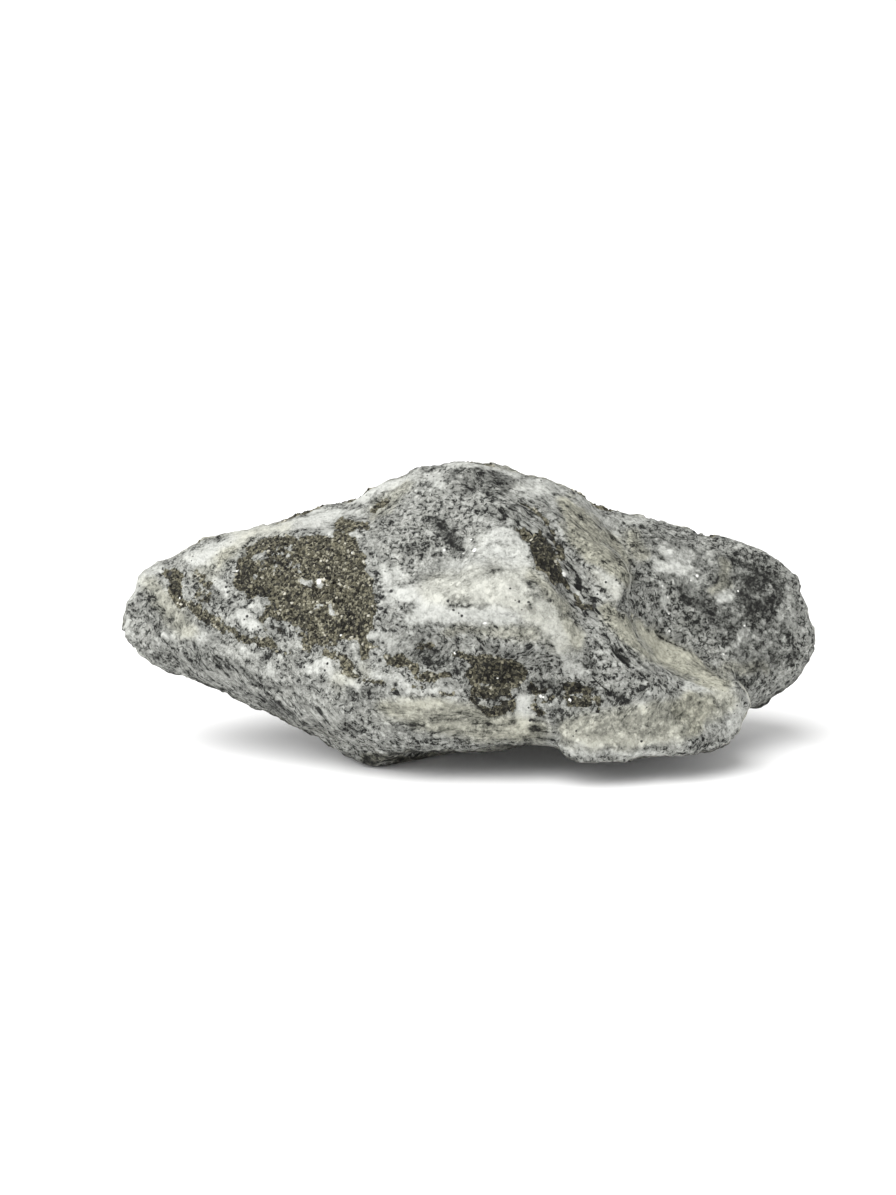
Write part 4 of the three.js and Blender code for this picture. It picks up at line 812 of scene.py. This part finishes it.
def rock_material():
    """The rock's colour: its patches, patterns, specks, soot with a painted shadow, and pyrite bed."""
    material = bpy.data.materials.new("broken_calcite_lazurite_rock")
    material.use_nodes = True
    tree = material.node_tree
    tree.nodes.clear()
    place = add(tree, "ShaderNodeTexCoord").outputs["Object"]
    mm = add(tree, "ShaderNodeVectorMath", {0: place, "Scale": 1 / MM}, operation="SCALE")
    mask = {}
    for name in masks:
        mask[name] = add(tree, "ShaderNodeAttribute", attribute_name=name).outputs["Fac"]

    def swing(field, by):
        """How far the field is from its middle, made larger or smaller."""
        middled = add(tree, "ShaderNodeMath", {0: field, 1: 0.5}, operation="SUBTRACT")
        return add(tree, "ShaderNodeMath", {0: middled, 1: by}, operation="MULTIPLY")

    clouds_in_rock = add(tree, "ShaderNodeTexNoise", {"Vector": mm, **CLOUDS})
    mottle = add(tree, "ShaderNodeTexNoise", {"Vector": mm, **MOTTLING})
    fine = add(tree, "ShaderNodeTexNoise", {"Vector": mm, **FINE_GRAIN})
    drift = add(tree, "ShaderNodeTexNoise", {"Vector": mm, **DRIFT})

    # where the rock is fibrous, coordinates squeezed along the fibres draw the lace out to ribs
    plain_lace = add(tree, "ShaderNodeTexNoise", {"Vector": mm, **LACE})
    lace = plain_lace
    for fibres, turn in (
        ("level_fibres", 0),
        ("falling_fibres", SLOPE_OF_FIBRES),
        ("rising_fibres", -SLOPE_OF_FIBRES),
    ):
        turned = add(tree, "ShaderNodeMapping", {"Vector": mm, "Rotation": (0, turn, 0)})
        drawn = add(tree, "ShaderNodeMapping", {"Vector": turned, "Scale": (DRAWN_OUT, 1, 1)})
        ribs = add(tree, "ShaderNodeTexNoise", {"Vector": drawn, **RIBS})
        lace = add(tree, "ShaderNodeMix", {0: mask[fibres], 2: lace, 3: ribs})

    # the local lightness: the patch, clouded and mottled, with some of the grains paler
    patch = add(
        tree,
        "ShaderNodeMath",
        {0: mask["paleness"], 1: swing(clouds_in_rock, CLOUDED)},
        operation="ADD",
    )
    value = add(tree, "ShaderNodeMath", {0: patch, 1: swing(mottle, MOTTLED)}, operation="ADD")
    sugar = add(tree, "ShaderNodeTexVoronoi", {"Vector": mm, "Scale": 1 / SUGAR_MM})
    lot = add(tree, "ShaderNodeSeparateColor", {0: sugar.outputs["Color"]})
    paler = add(tree, "ShaderNodeMath", {0: lot, 1: PALE_SUGAR}, operation="LESS_THAN")
    rim = add(tree, "ShaderNodeMath", {0: sugar, 1: swing(fine, SUGAR_RAGGED)}, operation="ADD")
    rim = add(
        tree,
        "ShaderNodeMath",
        {0: lot.outputs[1], 1: SUGAR_SIZES, 2: rim},
        operation="MULTIPLY_ADD",
    )
    inside = add(tree, "ShaderNodeMapRange", {"Value": rim, **SUGAR_EDGE})
    paler = add(tree, "ShaderNodeMath", {0: paler, 1: inside}, operation="MULTIPLY")
    lift = add(
        tree,
        "ShaderNodeMath",
        {0: mask["smooth"], 1: SMOOTH_LIFT, 2: PALE_LIFT},
        operation="MULTIPLY_ADD",
    )
    value = add(tree, "ShaderNodeMath", {0: paler, 1: lift, 2: value}, operation="MULTIPLY_ADD")

    # the lace blackens the grey rock and hardly marks the white or the tan
    gain = add(tree, "ShaderNodeMapRange", {"Value": patch, **LACE_DEPTH})
    on_tan = add(
        tree,
        "ShaderNodeMath",
        {0: mask["warmth"], 1: LACE_ON_TAN, 2: 1},
        operation="MULTIPLY_ADD",
    )
    gain = add(tree, "ShaderNodeMath", {0: gain, 1: on_tan}, operation="MULTIPLY")
    thick = add(tree, "ShaderNodeMapRange", {"Value": drift, **LACE_DRIFTS})
    thick = add(
        tree,
        "ShaderNodeMath",
        {0: thick, 1: THICKER_LACE, 2: THIN_LACE},
        operation="MULTIPLY_ADD",
    )
    gain = add(tree, "ShaderNodeMath", {0: gain, 1: thick}, operation="MULTIPLY")
    even = add(tree, "ShaderNodeMath", {0: mask["smooth"], 1: EVENNESS}, operation="MULTIPLY")
    laced = add(tree, "ShaderNodeMapRange", {"Value": lace, **LACED})
    to_mean = add(tree, "ShaderNodeMath", {0: LACED_SHARE, 1: laced}, operation="SUBTRACT")
    laced = add(
        tree, "ShaderNodeMath", {0: to_mean, 1: even, 2: laced}, operation="MULTIPLY_ADD"
    )
    laced = add(tree, "ShaderNodeMath", {0: laced, 1: gain}, operation="MULTIPLY")
    value = add(tree, "ShaderNodeMath", {0: value, 1: laced}, operation="SUBTRACT")
    uneven = add(tree, "ShaderNodeMath", {0: 1, 1: even}, operation="SUBTRACT")
    value = add(
        tree,
        "ShaderNodeMath",
        {0: swing(lace, LACE_SWING), 1: uneven, 2: value},
        operation="MULTIPLY_ADD",
    )
    grey = add(tree, "ShaderNodeMapRange", {"Value": patch, **CRISP_ROCK})
    black = add(tree, "ShaderNodeMath", {0: grey, 1: mask["pepper"]}, operation="MULTIPLY")
    crisp = add(tree, "ShaderNodeMapRange", {"Value": lace, **CRISP})
    crisp = add(tree, "ShaderNodeMath", {0: CRISP_SHARE, 1: crisp}, operation="SUBTRACT")
    crisp = add(tree, "ShaderNodeMath", {0: crisp, 1: CRISP_DEPTH}, operation="MULTIPLY")
    value = add(tree, "ShaderNodeMath", {0: black, 1: crisp, 2: value}, operation="MULTIPLY_ADD")

    # short wandering threads, where the mottling crosses its middle
    off_line = add(tree, "ShaderNodeMath", {0: mottle, 1: 0.5}, operation="SUBTRACT")
    off_line = add(tree, "ShaderNodeMath", {0: off_line}, operation="ABSOLUTE")
    line = add(tree, "ShaderNodeMapRange", {"Value": off_line, **THREAD_EDGE})
    shown = add(tree, "ShaderNodeMapRange", {"Value": drift, **THREAD_DRIFTS})
    thread = add(tree, "ShaderNodeMath", {0: line, 1: shown}, operation="MULTIPLY")
    value = add(
        tree, "ShaderNodeMath", {0: thread, 1: THREAD_DEPTH, 2: value}, operation="MULTIPLY_ADD"
    )

    # each grain is a little lighter or darker than the next
    cells = add(tree, "ShaderNodeTexVoronoi", {"Vector": mm, "Scale": 1 / GRAIN_MM})
    shade = add(tree, "ShaderNodeSeparateColor", {0: cells.outputs["Color"]})
    value = add(
        tree, "ShaderNodeMath", {0: value, 1: swing(shade, GRAIN_SWING)}, operation="ADD"
    )
    value = add(
        tree,
        "ShaderNodeMath",
        {0: value, 1: CONTRAST[0], 2: CONTRAST[1]},
        operation="MULTIPLY_ADD",
    )
    colour = add(tree, "ShaderNodeValToRGB", {"Fac": value}, ROCK_TONES)

    # the tan, a faint stain of iron over all the tones
    stained = add(
        tree,
        "ShaderNodeMix",
        {0: 1, 6: colour, 7: tone(IRON_STAIN)},
        data_type="RGBA",
        blend_type="MULTIPLY",
    ).outputs[2]
    stain = add(
        tree,
        "ShaderNodeMath",
        {0: mask["warmth"], 1: swing(clouds_in_rock, STAIN_CLOUDED)},
        operation="ADD",
        use_clamp=True,
    )
    colour = add(
        tree, "ShaderNodeMix", {0: stain, 6: colour, 7: stained}, data_type="RGBA"
    ).outputs[2]

    # black specks, one in some of the cells
    speck = add(tree, "ShaderNodeTexVoronoi", {"Vector": mm, "Scale": 1 / SPECK_MM})
    lot = add(tree, "ShaderNodeSeparateColor", {0: speck.outputs["Color"]})
    share = add(
        tree, "ShaderNodeMath", {0: mask["pepper"], 1: SPECKED_SHARE}, operation="MULTIPLY"
    )
    chosen = add(tree, "ShaderNodeMath", {0: lot, 1: share}, operation="LESS_THAN")
    size = add(
        tree,
        "ShaderNodeMath",
        {0: lot, 1: SPECK_SIZES[0], 2: SPECK_SIZES[1]},
        operation="MULTIPLY_ADD",
    )
    off = add(tree, "ShaderNodeMath", {0: speck, 1: size}, operation="SUBTRACT")
    near = add(tree, "ShaderNodeMapRange", {"Value": off, **SPECK_EDGE})
    specked = add(tree, "ShaderNodeMath", {0: near, 1: chosen}, operation="MULTIPLY")
    specked = add(tree, "ShaderNodeMath", {0: specked, 1: SPECK_COVER}, operation="MULTIPLY")
    colour = add(
        tree,
        "ShaderNodeMix",
        {0: specked, 6: colour, 7: tone(SPECK_COLOUR)},
        data_type="RGBA",
    ).outputs[2]

    # sooty streaks and a painted shadow, broken up by the mottling and the lace
    broken_up = swing(mottle, SOOT_AND_SHADE_RAGGED[0])
    soot_and_shade_here = add(tree, "ShaderNodeMath", {0: mask["soot_and_shade"], 1: broken_up}, operation="ADD")
    broken_up = swing(lace, SOOT_AND_SHADE_RAGGED[1])
    soot_and_shade_here = add(tree, "ShaderNodeMath", {0: soot_and_shade_here, 1: broken_up}, operation="ADD")
    soot_and_shade_here = add(tree, "ShaderNodeMapRange", {"Value": soot_and_shade_here, **SOOT_AND_SHADE_EDGE})
    sooted_and_shaded = add(
        tree,
        "ShaderNodeMix",
        {0: 1, 6: colour, 7: tone(SOOT_AND_SHADE_COLOUR)},
        data_type="RGBA",
        blend_type="MULTIPLY",
    ).outputs[2]
    colour = add(
        tree, "ShaderNodeMix", {0: soot_and_shade_here, 6: colour, 7: sooted_and_shaded}, data_type="RGBA"
    ).outputs[2]

    # the bed that the pyrite grains sit in
    crust_here = crust_pattern(tree, mm, mask["pyrite"])
    bed = add(tree, "ShaderNodeMapRange", {"Value": crust_here, **BED_EDGE})
    by_rock = swing(mask["paleness"], BED_BY_ROCK)
    grit = add(tree, "ShaderNodeTexNoise", {"Vector": mm, **BED_GRIT})
    grit = add(tree, "ShaderNodeMath", {0: grit, 1: by_rock}, operation="ADD")
    bed_colour = add(tree, "ShaderNodeValToRGB", {"Fac": grit}, BED_TONES)
    colour = add(
        tree, "ShaderNodeMix", {0: bed, 6: colour, 7: bed_colour}, data_type="RGBA"
    ).outputs[2]

    # the finest relief, and matt rock that is a little less rough where the mottling is high
    height = add(
        tree,
        "ShaderNodeMath",
        {0: fine, 1: FINE_RELIEF, 2: mottle},
        operation="MULTIPLY_ADD",
    )
    height = add(
        tree,
        "ShaderNodeMath",
        {0: plain_lace, 1: LACE_RELIEF, 2: height},
        operation="MULTIPLY_ADD",
    )
    bump = add(
        tree,
        "ShaderNodeBump",
        {"Height": height, "Strength": RELIEF_STRENGTH, "Distance": RELIEF_MM * MM},
    )
    roughness = add(
        tree,
        "ShaderNodeMath",
        {0: mottle, 1: ROCK_ROUGHNESS[0], 2: ROCK_ROUGHNESS[1]},
        operation="MULTIPLY_ADD",
    )
    shader = add(
        tree,
        "ShaderNodeBsdfPrincipled",
        {
            "Base Color": colour,
            "Roughness": roughness,
            "Normal": bump,
            "Specular IOR Level": ROCK_SHINE,
        },
    )
    add(tree, "ShaderNodeOutputMaterial", {"Surface": shader})
    return material


skin.materials.clear()
skin.materials.append(rock_material())
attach(stone, "root")
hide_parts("stone")

# ------------------------------------------------------------------ the pyrite crust
# Pyrite grew through the rock as grains of 0.3 to 0.6 mm, packed into crusts. Each is a small
# cube set deep in the skin at a chance angle, dull olive and here and there a paler one.
GRAIN_GAP = 0.52  # least distance between grains
GRAINS_PER_MM2 = 8.0  # how many are tried
GRAIN_SIDE = 0.5
GRAIN_STRETCH = (0.55, 1.25)  # the least and the most that a side is of that
GRAIN_SUNK = 0.12
CRUST_SEED = 7
TURN_SEED = 3
STRETCH_SEED = 4
TINT_SEED = 5
TINT_BY_ROCK = 1.2  # how much paler the grains are where the patch is
FILM = {"Scale": 1 / (3 * MM), "Detail": 3}  # the tarnish, in clouds of 3 mm
FILM_SWING = 0.6
PYRITE_TONES = [  # from a dark grain to a bright one
    [0.0, "#100f0a"],
    [0.3, "#26241b"],
    [0.6, "#4e4b3d"],
    [0.88, "#7c7865"],
    [1.0, "#b4b1a4"],
]
PYRITE_ROUGHNESS = 0.6
PYRITE_METAL = 0.1
PYRITE_SHINE = 0.3


def crust_of(host, name):
    """Small cubes set all over the host where its pyrite mask is high, as one mesh."""
    tree = bpy.data.node_groups.new(name, "GeometryNodeTree")
    tree.interface.new_socket("Geometry", in_out="INPUT", socket_type="NodeSocketGeometry")
    tree.interface.new_socket("Geometry", in_out="OUTPUT", socket_type="NodeSocketGeometry")
    source = add(tree, "NodeGroupInput")
    share = add(
        tree, "GeometryNodeInputNamedAttribute", {"Name": "pyrite"}, data_type="FLOAT"
    ).outputs["Attribute"]
    place = add(tree, "GeometryNodeInputPosition")
    mm = add(tree, "ShaderNodeVectorMath", {0: place, "Scale": 1 / MM}, operation="SCALE")
    closed = add(
        tree,
        "ShaderNodeMath",
        {0: crust_pattern(tree, mm, share), 1: CRUST_LEVEL},
        operation="GREATER_THAN",
    )
    sown = add(
        tree,
        "GeometryNodeDistributePointsOnFaces",
        {
            "Mesh": source,
            "Distance Min": GRAIN_GAP * MM,
            "Density Max": GRAINS_PER_MM2 / MM**2,
            "Seed": CRUST_SEED,
        },
        distribute_method="POISSON",
    )
    bare = add(tree, "ShaderNodeMath", {0: 1, 1: closed}, operation="SUBTRACT")
    kept = add(tree, "GeometryNodeDeleteGeometry", {0: sown, 1: bare})
    depth = add(
        tree,
        "ShaderNodeVectorMath",
        {0: sown.outputs["Normal"], "Scale": -GRAIN_SUNK * MM},
        operation="SCALE",
    )
    sunk = add(tree, "GeometryNodeSetPosition", {"Geometry": kept, "Offset": depth})
    cube = add(tree, "GeometryNodeMeshCube", {"Size": (GRAIN_SIDE * MM,) * 3})
    turn = add(
        tree,
        "FunctionNodeRandomValue",
        {0: (0, 0, 0), 1: (math.tau,) * 3, "Seed": TURN_SEED},
        data_type="FLOAT_VECTOR",
    )
    stretch = add(
        tree,
        "FunctionNodeRandomValue",
        {0: (GRAIN_STRETCH[0],) * 3, 1: (GRAIN_STRETCH[1],) * 3, "Seed": STRETCH_SEED},
        data_type="FLOAT_VECTOR",
    )
    cubes = add(
        tree,
        "GeometryNodeInstanceOnPoints",
        {"Points": sunk, "Instance": cube, "Rotation": turn, "Scale": stretch},
    )
    chance = add(
        tree, "FunctionNodeRandomValue", {2: 0.0, 3: 1.0, "Seed": TINT_SEED}, data_type="FLOAT"
    ).outputs[1]
    patch = add(
        tree, "GeometryNodeInputNamedAttribute", {"Name": "paleness"}, data_type="FLOAT"
    ).outputs["Attribute"]
    middled = add(tree, "ShaderNodeMath", {0: patch, 1: 0.5}, operation="SUBTRACT")
    tint = add(
        tree,
        "ShaderNodeMath",
        {0: middled, 1: TINT_BY_ROCK, 2: chance},
        operation="MULTIPLY_ADD",
    )
    tinted = add(
        tree,
        "GeometryNodeStoreNamedAttribute",
        {"Geometry": cubes, "Name": "tint", "Value": tint},
        data_type="FLOAT",
        domain="INSTANCE",
    )
    whole = add(tree, "GeometryNodeRealizeInstances", {"Geometry": tinted})
    add(tree, "NodeGroupOutput", {0: whole})
    holder = bpy.data.objects.new(name, host.data.copy())
    bpy.context.scene.collection.objects.link(holder)
    holder.modifiers.new(name, "NODES").node_group = tree
    finished = holder.evaluated_get(bpy.context.evaluated_depsgraph_get())
    mesh = bpy.data.meshes.new_from_object(finished)
    bpy.data.objects.remove(holder)
    return mesh


def pyrite_material():
    """Pyrite in fine grains, tarnished: hardly metallic any more, dull olive, rather rough."""
    material = bpy.data.materials.new("dull_pyrite")
    material.use_nodes = True
    tree = material.node_tree
    tree.nodes.clear()
    tint = add(tree, "ShaderNodeAttribute", attribute_name="tint").outputs["Fac"]
    place = add(tree, "ShaderNodeTexCoord").outputs["Object"]
    film = add(tree, "ShaderNodeTexNoise", {"Vector": place, **FILM})
    middled = add(tree, "ShaderNodeMath", {0: film, 1: 0.5}, operation="SUBTRACT")
    shade = add(
        tree, "ShaderNodeMath", {0: middled, 1: FILM_SWING, 2: tint}, operation="MULTIPLY_ADD"
    )
    colour = add(tree, "ShaderNodeValToRGB", {"Fac": shade}, PYRITE_TONES)
    shader = add(
        tree,
        "ShaderNodeBsdfPrincipled",
        {
            "Base Color": colour,
            "Roughness": PYRITE_ROUGHNESS,
            "Metallic": PYRITE_METAL,
            "Specular IOR Level": PYRITE_SHINE,
        },
    )
    add(tree, "ShaderNodeOutputMaterial", {"Surface": shader})
    return material


grains_mesh = crust_of(stone, "pyrite_grains")
grains_mesh.materials.clear()
grains_mesh.materials.append(pyrite_material())
grains = bpy.data.objects.new("pyrite_grains", grains_mesh)
bpy.context.scene.collection.objects.link(grains)
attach(grains, "root")

# ------------------------------------------------------------------ flecks and glints
# Single black crystals stand in the white rock, and here and there a clear calcite face catches the
# light, shown as a near-white lump whose colour is a painted highlight. Each is a small flattened
# lump, pressed into the skin.
FLECK_COLOUR = "#1b1b19"
FLECK_ROUGHNESS = 0.6
GLINT_COLOUR = "#dededa"
GLINT_ROUGHNESS = 0.25
FLATNESS = 0.35  # a lump's height above the skin, as a share of its radius
LUMP_SHAPES = (0.75, 1.25)  # how much shorter or longer than the radius a lump is each way
LUMP_SEED = 5
BLACK_FLECKS = [  # across, up and radius, as the patches
    [-14.1, 3.6, 0.35], [-12.6, 1.5, 0.25], [8.6, 4.1, 0.25], [16.3, 1.8, 0.3],
    [10.3, 1.6, 0.25], [12.1, 1.5, 0.25], [-16, 0.3, 0.5], [-16.9, 7.2, 0.35],
    [-3.2, 1.7, 0.3], [-2.8, 0.9, 0.2], [-2.2, 0, 0.3], [-1.2, -0.6, 0.2],
    [-0.6, -1.1, 0.3], [-41.5, -1.2, 0.35], [-42, -1.8, 0.2], [-39, -3.8, 0.3],
    [-39.4, -3.2, 0.2], [-43.6, -3, 0.25], [-35.6, -9.9, 0.3], [-31.3, -10.8, 0.4],
    [-30.6, -10.9, 0.25], [-26.2, -10.2, 0.3], [-26.7, -11.5, 0.25], [-45.2, 3.4, 0.35],
    [-45.5, 4.4, 0.3], [-45.3, 5.2, 0.2], [-48, 2.5, 0.25], [-51.8, 10.2, 0.2],
    [-52, 9.4, 0.2], [-47, 12, 0.15], [-56.1, 6.9, 0.5], [-64, 1, 0.3], [-63.5, -1, 0.25],
    [-62.8, -2.8, 0.25], [-30.6, 14.6, 0.25], [-30, 13, 0.3], [-28.6, 14.8, 0.3],
    [-28.3, 15.4, 0.2], [-36, 0, 0.3], [-33.2, -2.4, 0.3], [-27.8, 7, 0.35],
    [-13.2, -4, 0.25], [-12, -3.2, 0.25], [-10, -14.3, 0.25], [-8, -15.6, 0.2],
    [-4.2, -15.9, 0.25], [-3.4, -16, 0.25], [-2.4, -16, 0.25], [12.4, -21, 0.3],
    [12.1, -18.6, 0.2], [18.5, -19.2, 0.4], [16.2, -19.9, 0.3], [17, -20.1, 0.3],
    [19.4, -20, 0.2], [13.6, -20.1, 0.2], [26.8, 5.3, 0.25], [28.8, 5.7, 0.3],
    [28.4, -0.6, 0.2], [30.8, 0.6, 0.25], [33.4, -13, 0.35], [33.8, -14.8, 0.5],
    [35, -14.4, 0.35], [34, -16, 0.25], [38.6, -14, 0.25], [40.4, -13.8, 0.25],
    [38.4, -15.6, 0.25], [28.8, -7.2, 0.4], [31.2, -9.8, 0.4], [32, -11, 0.4],
    [37.4, -10.2, 0.2], [46.4, -9.4, 0.3], [45.4, -13.8, 0.2], [52.8, -16.8, 0.2],
    [51.8, -18.2, 0.2], [33.6, -25, 0.25], [21.2, -23, 0.2], [20.6, -24, 0.15],
    [-7.2, 25.6, 0.2], [-6, 25.4, 0.2], [-4.6, 24.6, 0.2], [-8.2, 24, 0.2],
    [12.6, 18, 0.25], [14.6, 18.6, 0.2], [16, 15.6, 0.3], [17.6, 12.8, 0.25], [21, 1, 0.5],
    [22.6, -0.6, 0.35], [24.6, 0.8, 0.5], [25.2, 3, 0.25],
]
CALCITE_GLINTS = [
    [-54.2, 2.3, 0.25], [-21.4, 10.9, 0.4], [-43.4, 7.4, 0.3], [-27.8, 5.4, 0.5],
    [-23.6, -4.8, 0.25], [-1.9, -8.2, 0.3], [3.8, -2.5, 0.4], [14.4, -16.4, 0.3],
    [14.9, -16.6, 0.2], [19.9, -17.2, 0.35], [6.2, -13, 0.2], [38.8, -0.7, 0.25],
    [38.9, -4, 0.3], [44.2, 6.5, 0.35], [43, 5.6, 0.2], [37.6, 4.6, 0.25],
    [38.6, 2.4, 0.25], [53.2, -3, 0.25], [52, 3.6, 0.2], [49.2, -8.4, 0.25],
    [-3.9, 11.4, 0.25], [-0.3, 10.8, 0.25], [1.8, 11.4, 0.5], [1.2, 13.4, 0.3],
    [18.8, 6.8, 0.5],
]


def plain_material(name, code, roughness):
    """An even colour with an even roughness."""
    material = bpy.data.materials.new(name)
    material.use_nodes = True
    shader = material.node_tree.nodes["Principled BSDF"]
    shader.inputs["Base Color"].default_value = tone(code)
    shader.inputs["Roughness"].default_value = roughness
    return material


def lumps(name, spots_and_sizes, material):
    """Small flattened lumps in the skin, one at each place seen from in front."""
    chance = np.random.default_rng(LUMP_SEED)
    shape = bmesh.new()
    for across, up, radius in spots_and_sizes:
        aim = MIDDLE + np.array([across, 0, 0]) + up * eye_up
        hit, place, facing, _ = stone.ray_cast(Vector(eye) * MM, Vector(aim - eye))
        if not hit:
            continue
        wide, long = radius * MM * chance.uniform(*LUMP_SHAPES, 2)
        size = Matrix.Diagonal((wide, long, FLATNESS * radius * MM, 1))
        turn = facing.to_track_quat("Z", "Y").to_matrix().to_4x4()
        spin = Matrix.Rotation(chance.uniform(0, math.tau), 4, "Z")
        bmesh.ops.create_icosphere(
            shape, subdivisions=1, radius=1, matrix=Matrix.Translation(place) @ turn @ spin @ size
        )
    mesh = bpy.data.meshes.new(name)
    shape.to_mesh(mesh)
    shape.free()
    mesh.materials.append(material)
    made = bpy.data.objects.new(name, mesh)
    bpy.context.scene.collection.objects.link(made)
    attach(made, "root")


bpy.context.view_layer.update()
# hard dark grains, dull on their broken faces
black_grain = plain_material("black_grain", FLECK_COLOUR, FLECK_ROUGHNESS)
lumps("black_flecks", BLACK_FLECKS, black_grain)
# calcite coloured near white, a painted highlight for the glint of a face that catches the light
calcite_painted_glint = plain_material("calcite_painted_glint", GLINT_COLOUR, GLINT_ROUGHNESS)
lumps("calcite_glints", CALCITE_GLINTS, calcite_painted_glint)

# ------------------------------------------------------------------ the table, light and camera
# A seamless sheet of matt white paper, lit by white walls all round and by the wide soft light
# of a window, which stands high up, in front and to the left.
SHEET_SIZE = 3  # metres each way from the middle
PAPER_COLOUR = "#fbfbfb"
PAPER_ROUGHNESS = 0.9
PAPER_GLEAM = 0.01  # a little light of its own, so that the paper stays white in the shade
ROOM_TONES = [[0.0, "#fbfbfb"], [0.3, "#fbfbfb"], [0.6, "#a4a4a4"]]  # walls, then a darker ceiling
ROOM_STRENGTH = 1.3
WINDOW_STRENGTH = 3.6
WINDOW_WIDTH = math.radians(65)
WINDOW_LIGHT = (0.45, 0.35, -0.85)  # the way that its light goes
LENS = 50
SENSOR = 36
FRAME_HEIGHT = 1195  # pixels
FRAME_SHIFT = (-17, 12.5)  # pixels that the frame lies to the right of the lens and above it

sheet = bmesh.new()
bmesh.ops.create_grid(sheet, x_segments=1, y_segments=1, size=SHEET_SIZE)
floor_mesh = bpy.data.meshes.new("white_sheet")
sheet.to_mesh(floor_mesh)
sheet.free()
floor = bpy.data.objects.new("white_sheet", floor_mesh)
bpy.context.scene.collection.objects.link(floor)
# matt white paper
paper = plain_material("white_paper", PAPER_COLOUR, PAPER_ROUGHNESS)
paper_shader = paper.node_tree.nodes["Principled BSDF"]
paper_shader.inputs["Emission Color"].default_value = (1, 1, 1, 1)
paper_shader.inputs["Emission Strength"].default_value = PAPER_GLEAM
floor_mesh.materials.append(paper)

world = bpy.data.worlds.new("white_room")
world.use_nodes = True
room = world.node_tree
room.nodes.clear()
outwards = add(room, "ShaderNodeTexCoord").outputs["Generated"]
upwards = add(room, "ShaderNodeSeparateXYZ", {0: outwards}).outputs["Z"]
walls = add(room, "ShaderNodeValToRGB", {"Fac": upwards}, ROOM_TONES)
glow = add(room, "ShaderNodeBackground", {"Color": walls, "Strength": ROOM_STRENGTH})
add(room, "ShaderNodeOutputWorld", {"Surface": glow})
bpy.context.scene.world = world

lamp = bpy.data.lights.new("window", "SUN")
lamp.energy = WINDOW_STRENGTH
lamp.angle = WINDOW_WIDTH
window = bpy.data.objects.new("window", lamp)
window.rotation_euler = Vector(WINDOW_LIGHT).to_track_quat("-Z", "Y").to_euler()
bpy.context.scene.collection.objects.link(window)

camera_data = bpy.data.cameras.new("camera")
camera_data.lens = LENS
camera_data.sensor_width = SENSOR
camera_data.shift_x = FRAME_SHIFT[0] / FRAME_HEIGHT
camera_data.shift_y = FRAME_SHIFT[1] / FRAME_HEIGHT
camera_data.clip_start = 0.01
camera = bpy.data.objects.new("camera", camera_data)
camera.location = Vector(eye) * MM
camera.rotation_euler = (
    (Vector(MIDDLE) * MM - camera.location).to_track_quat("-Z", "Y").to_euler()
)
bpy.context.scene.collection.objects.link(camera)
bpy.context.scene.camera = camera
bpy.context.scene.view_settings.view_transform = "Standard"
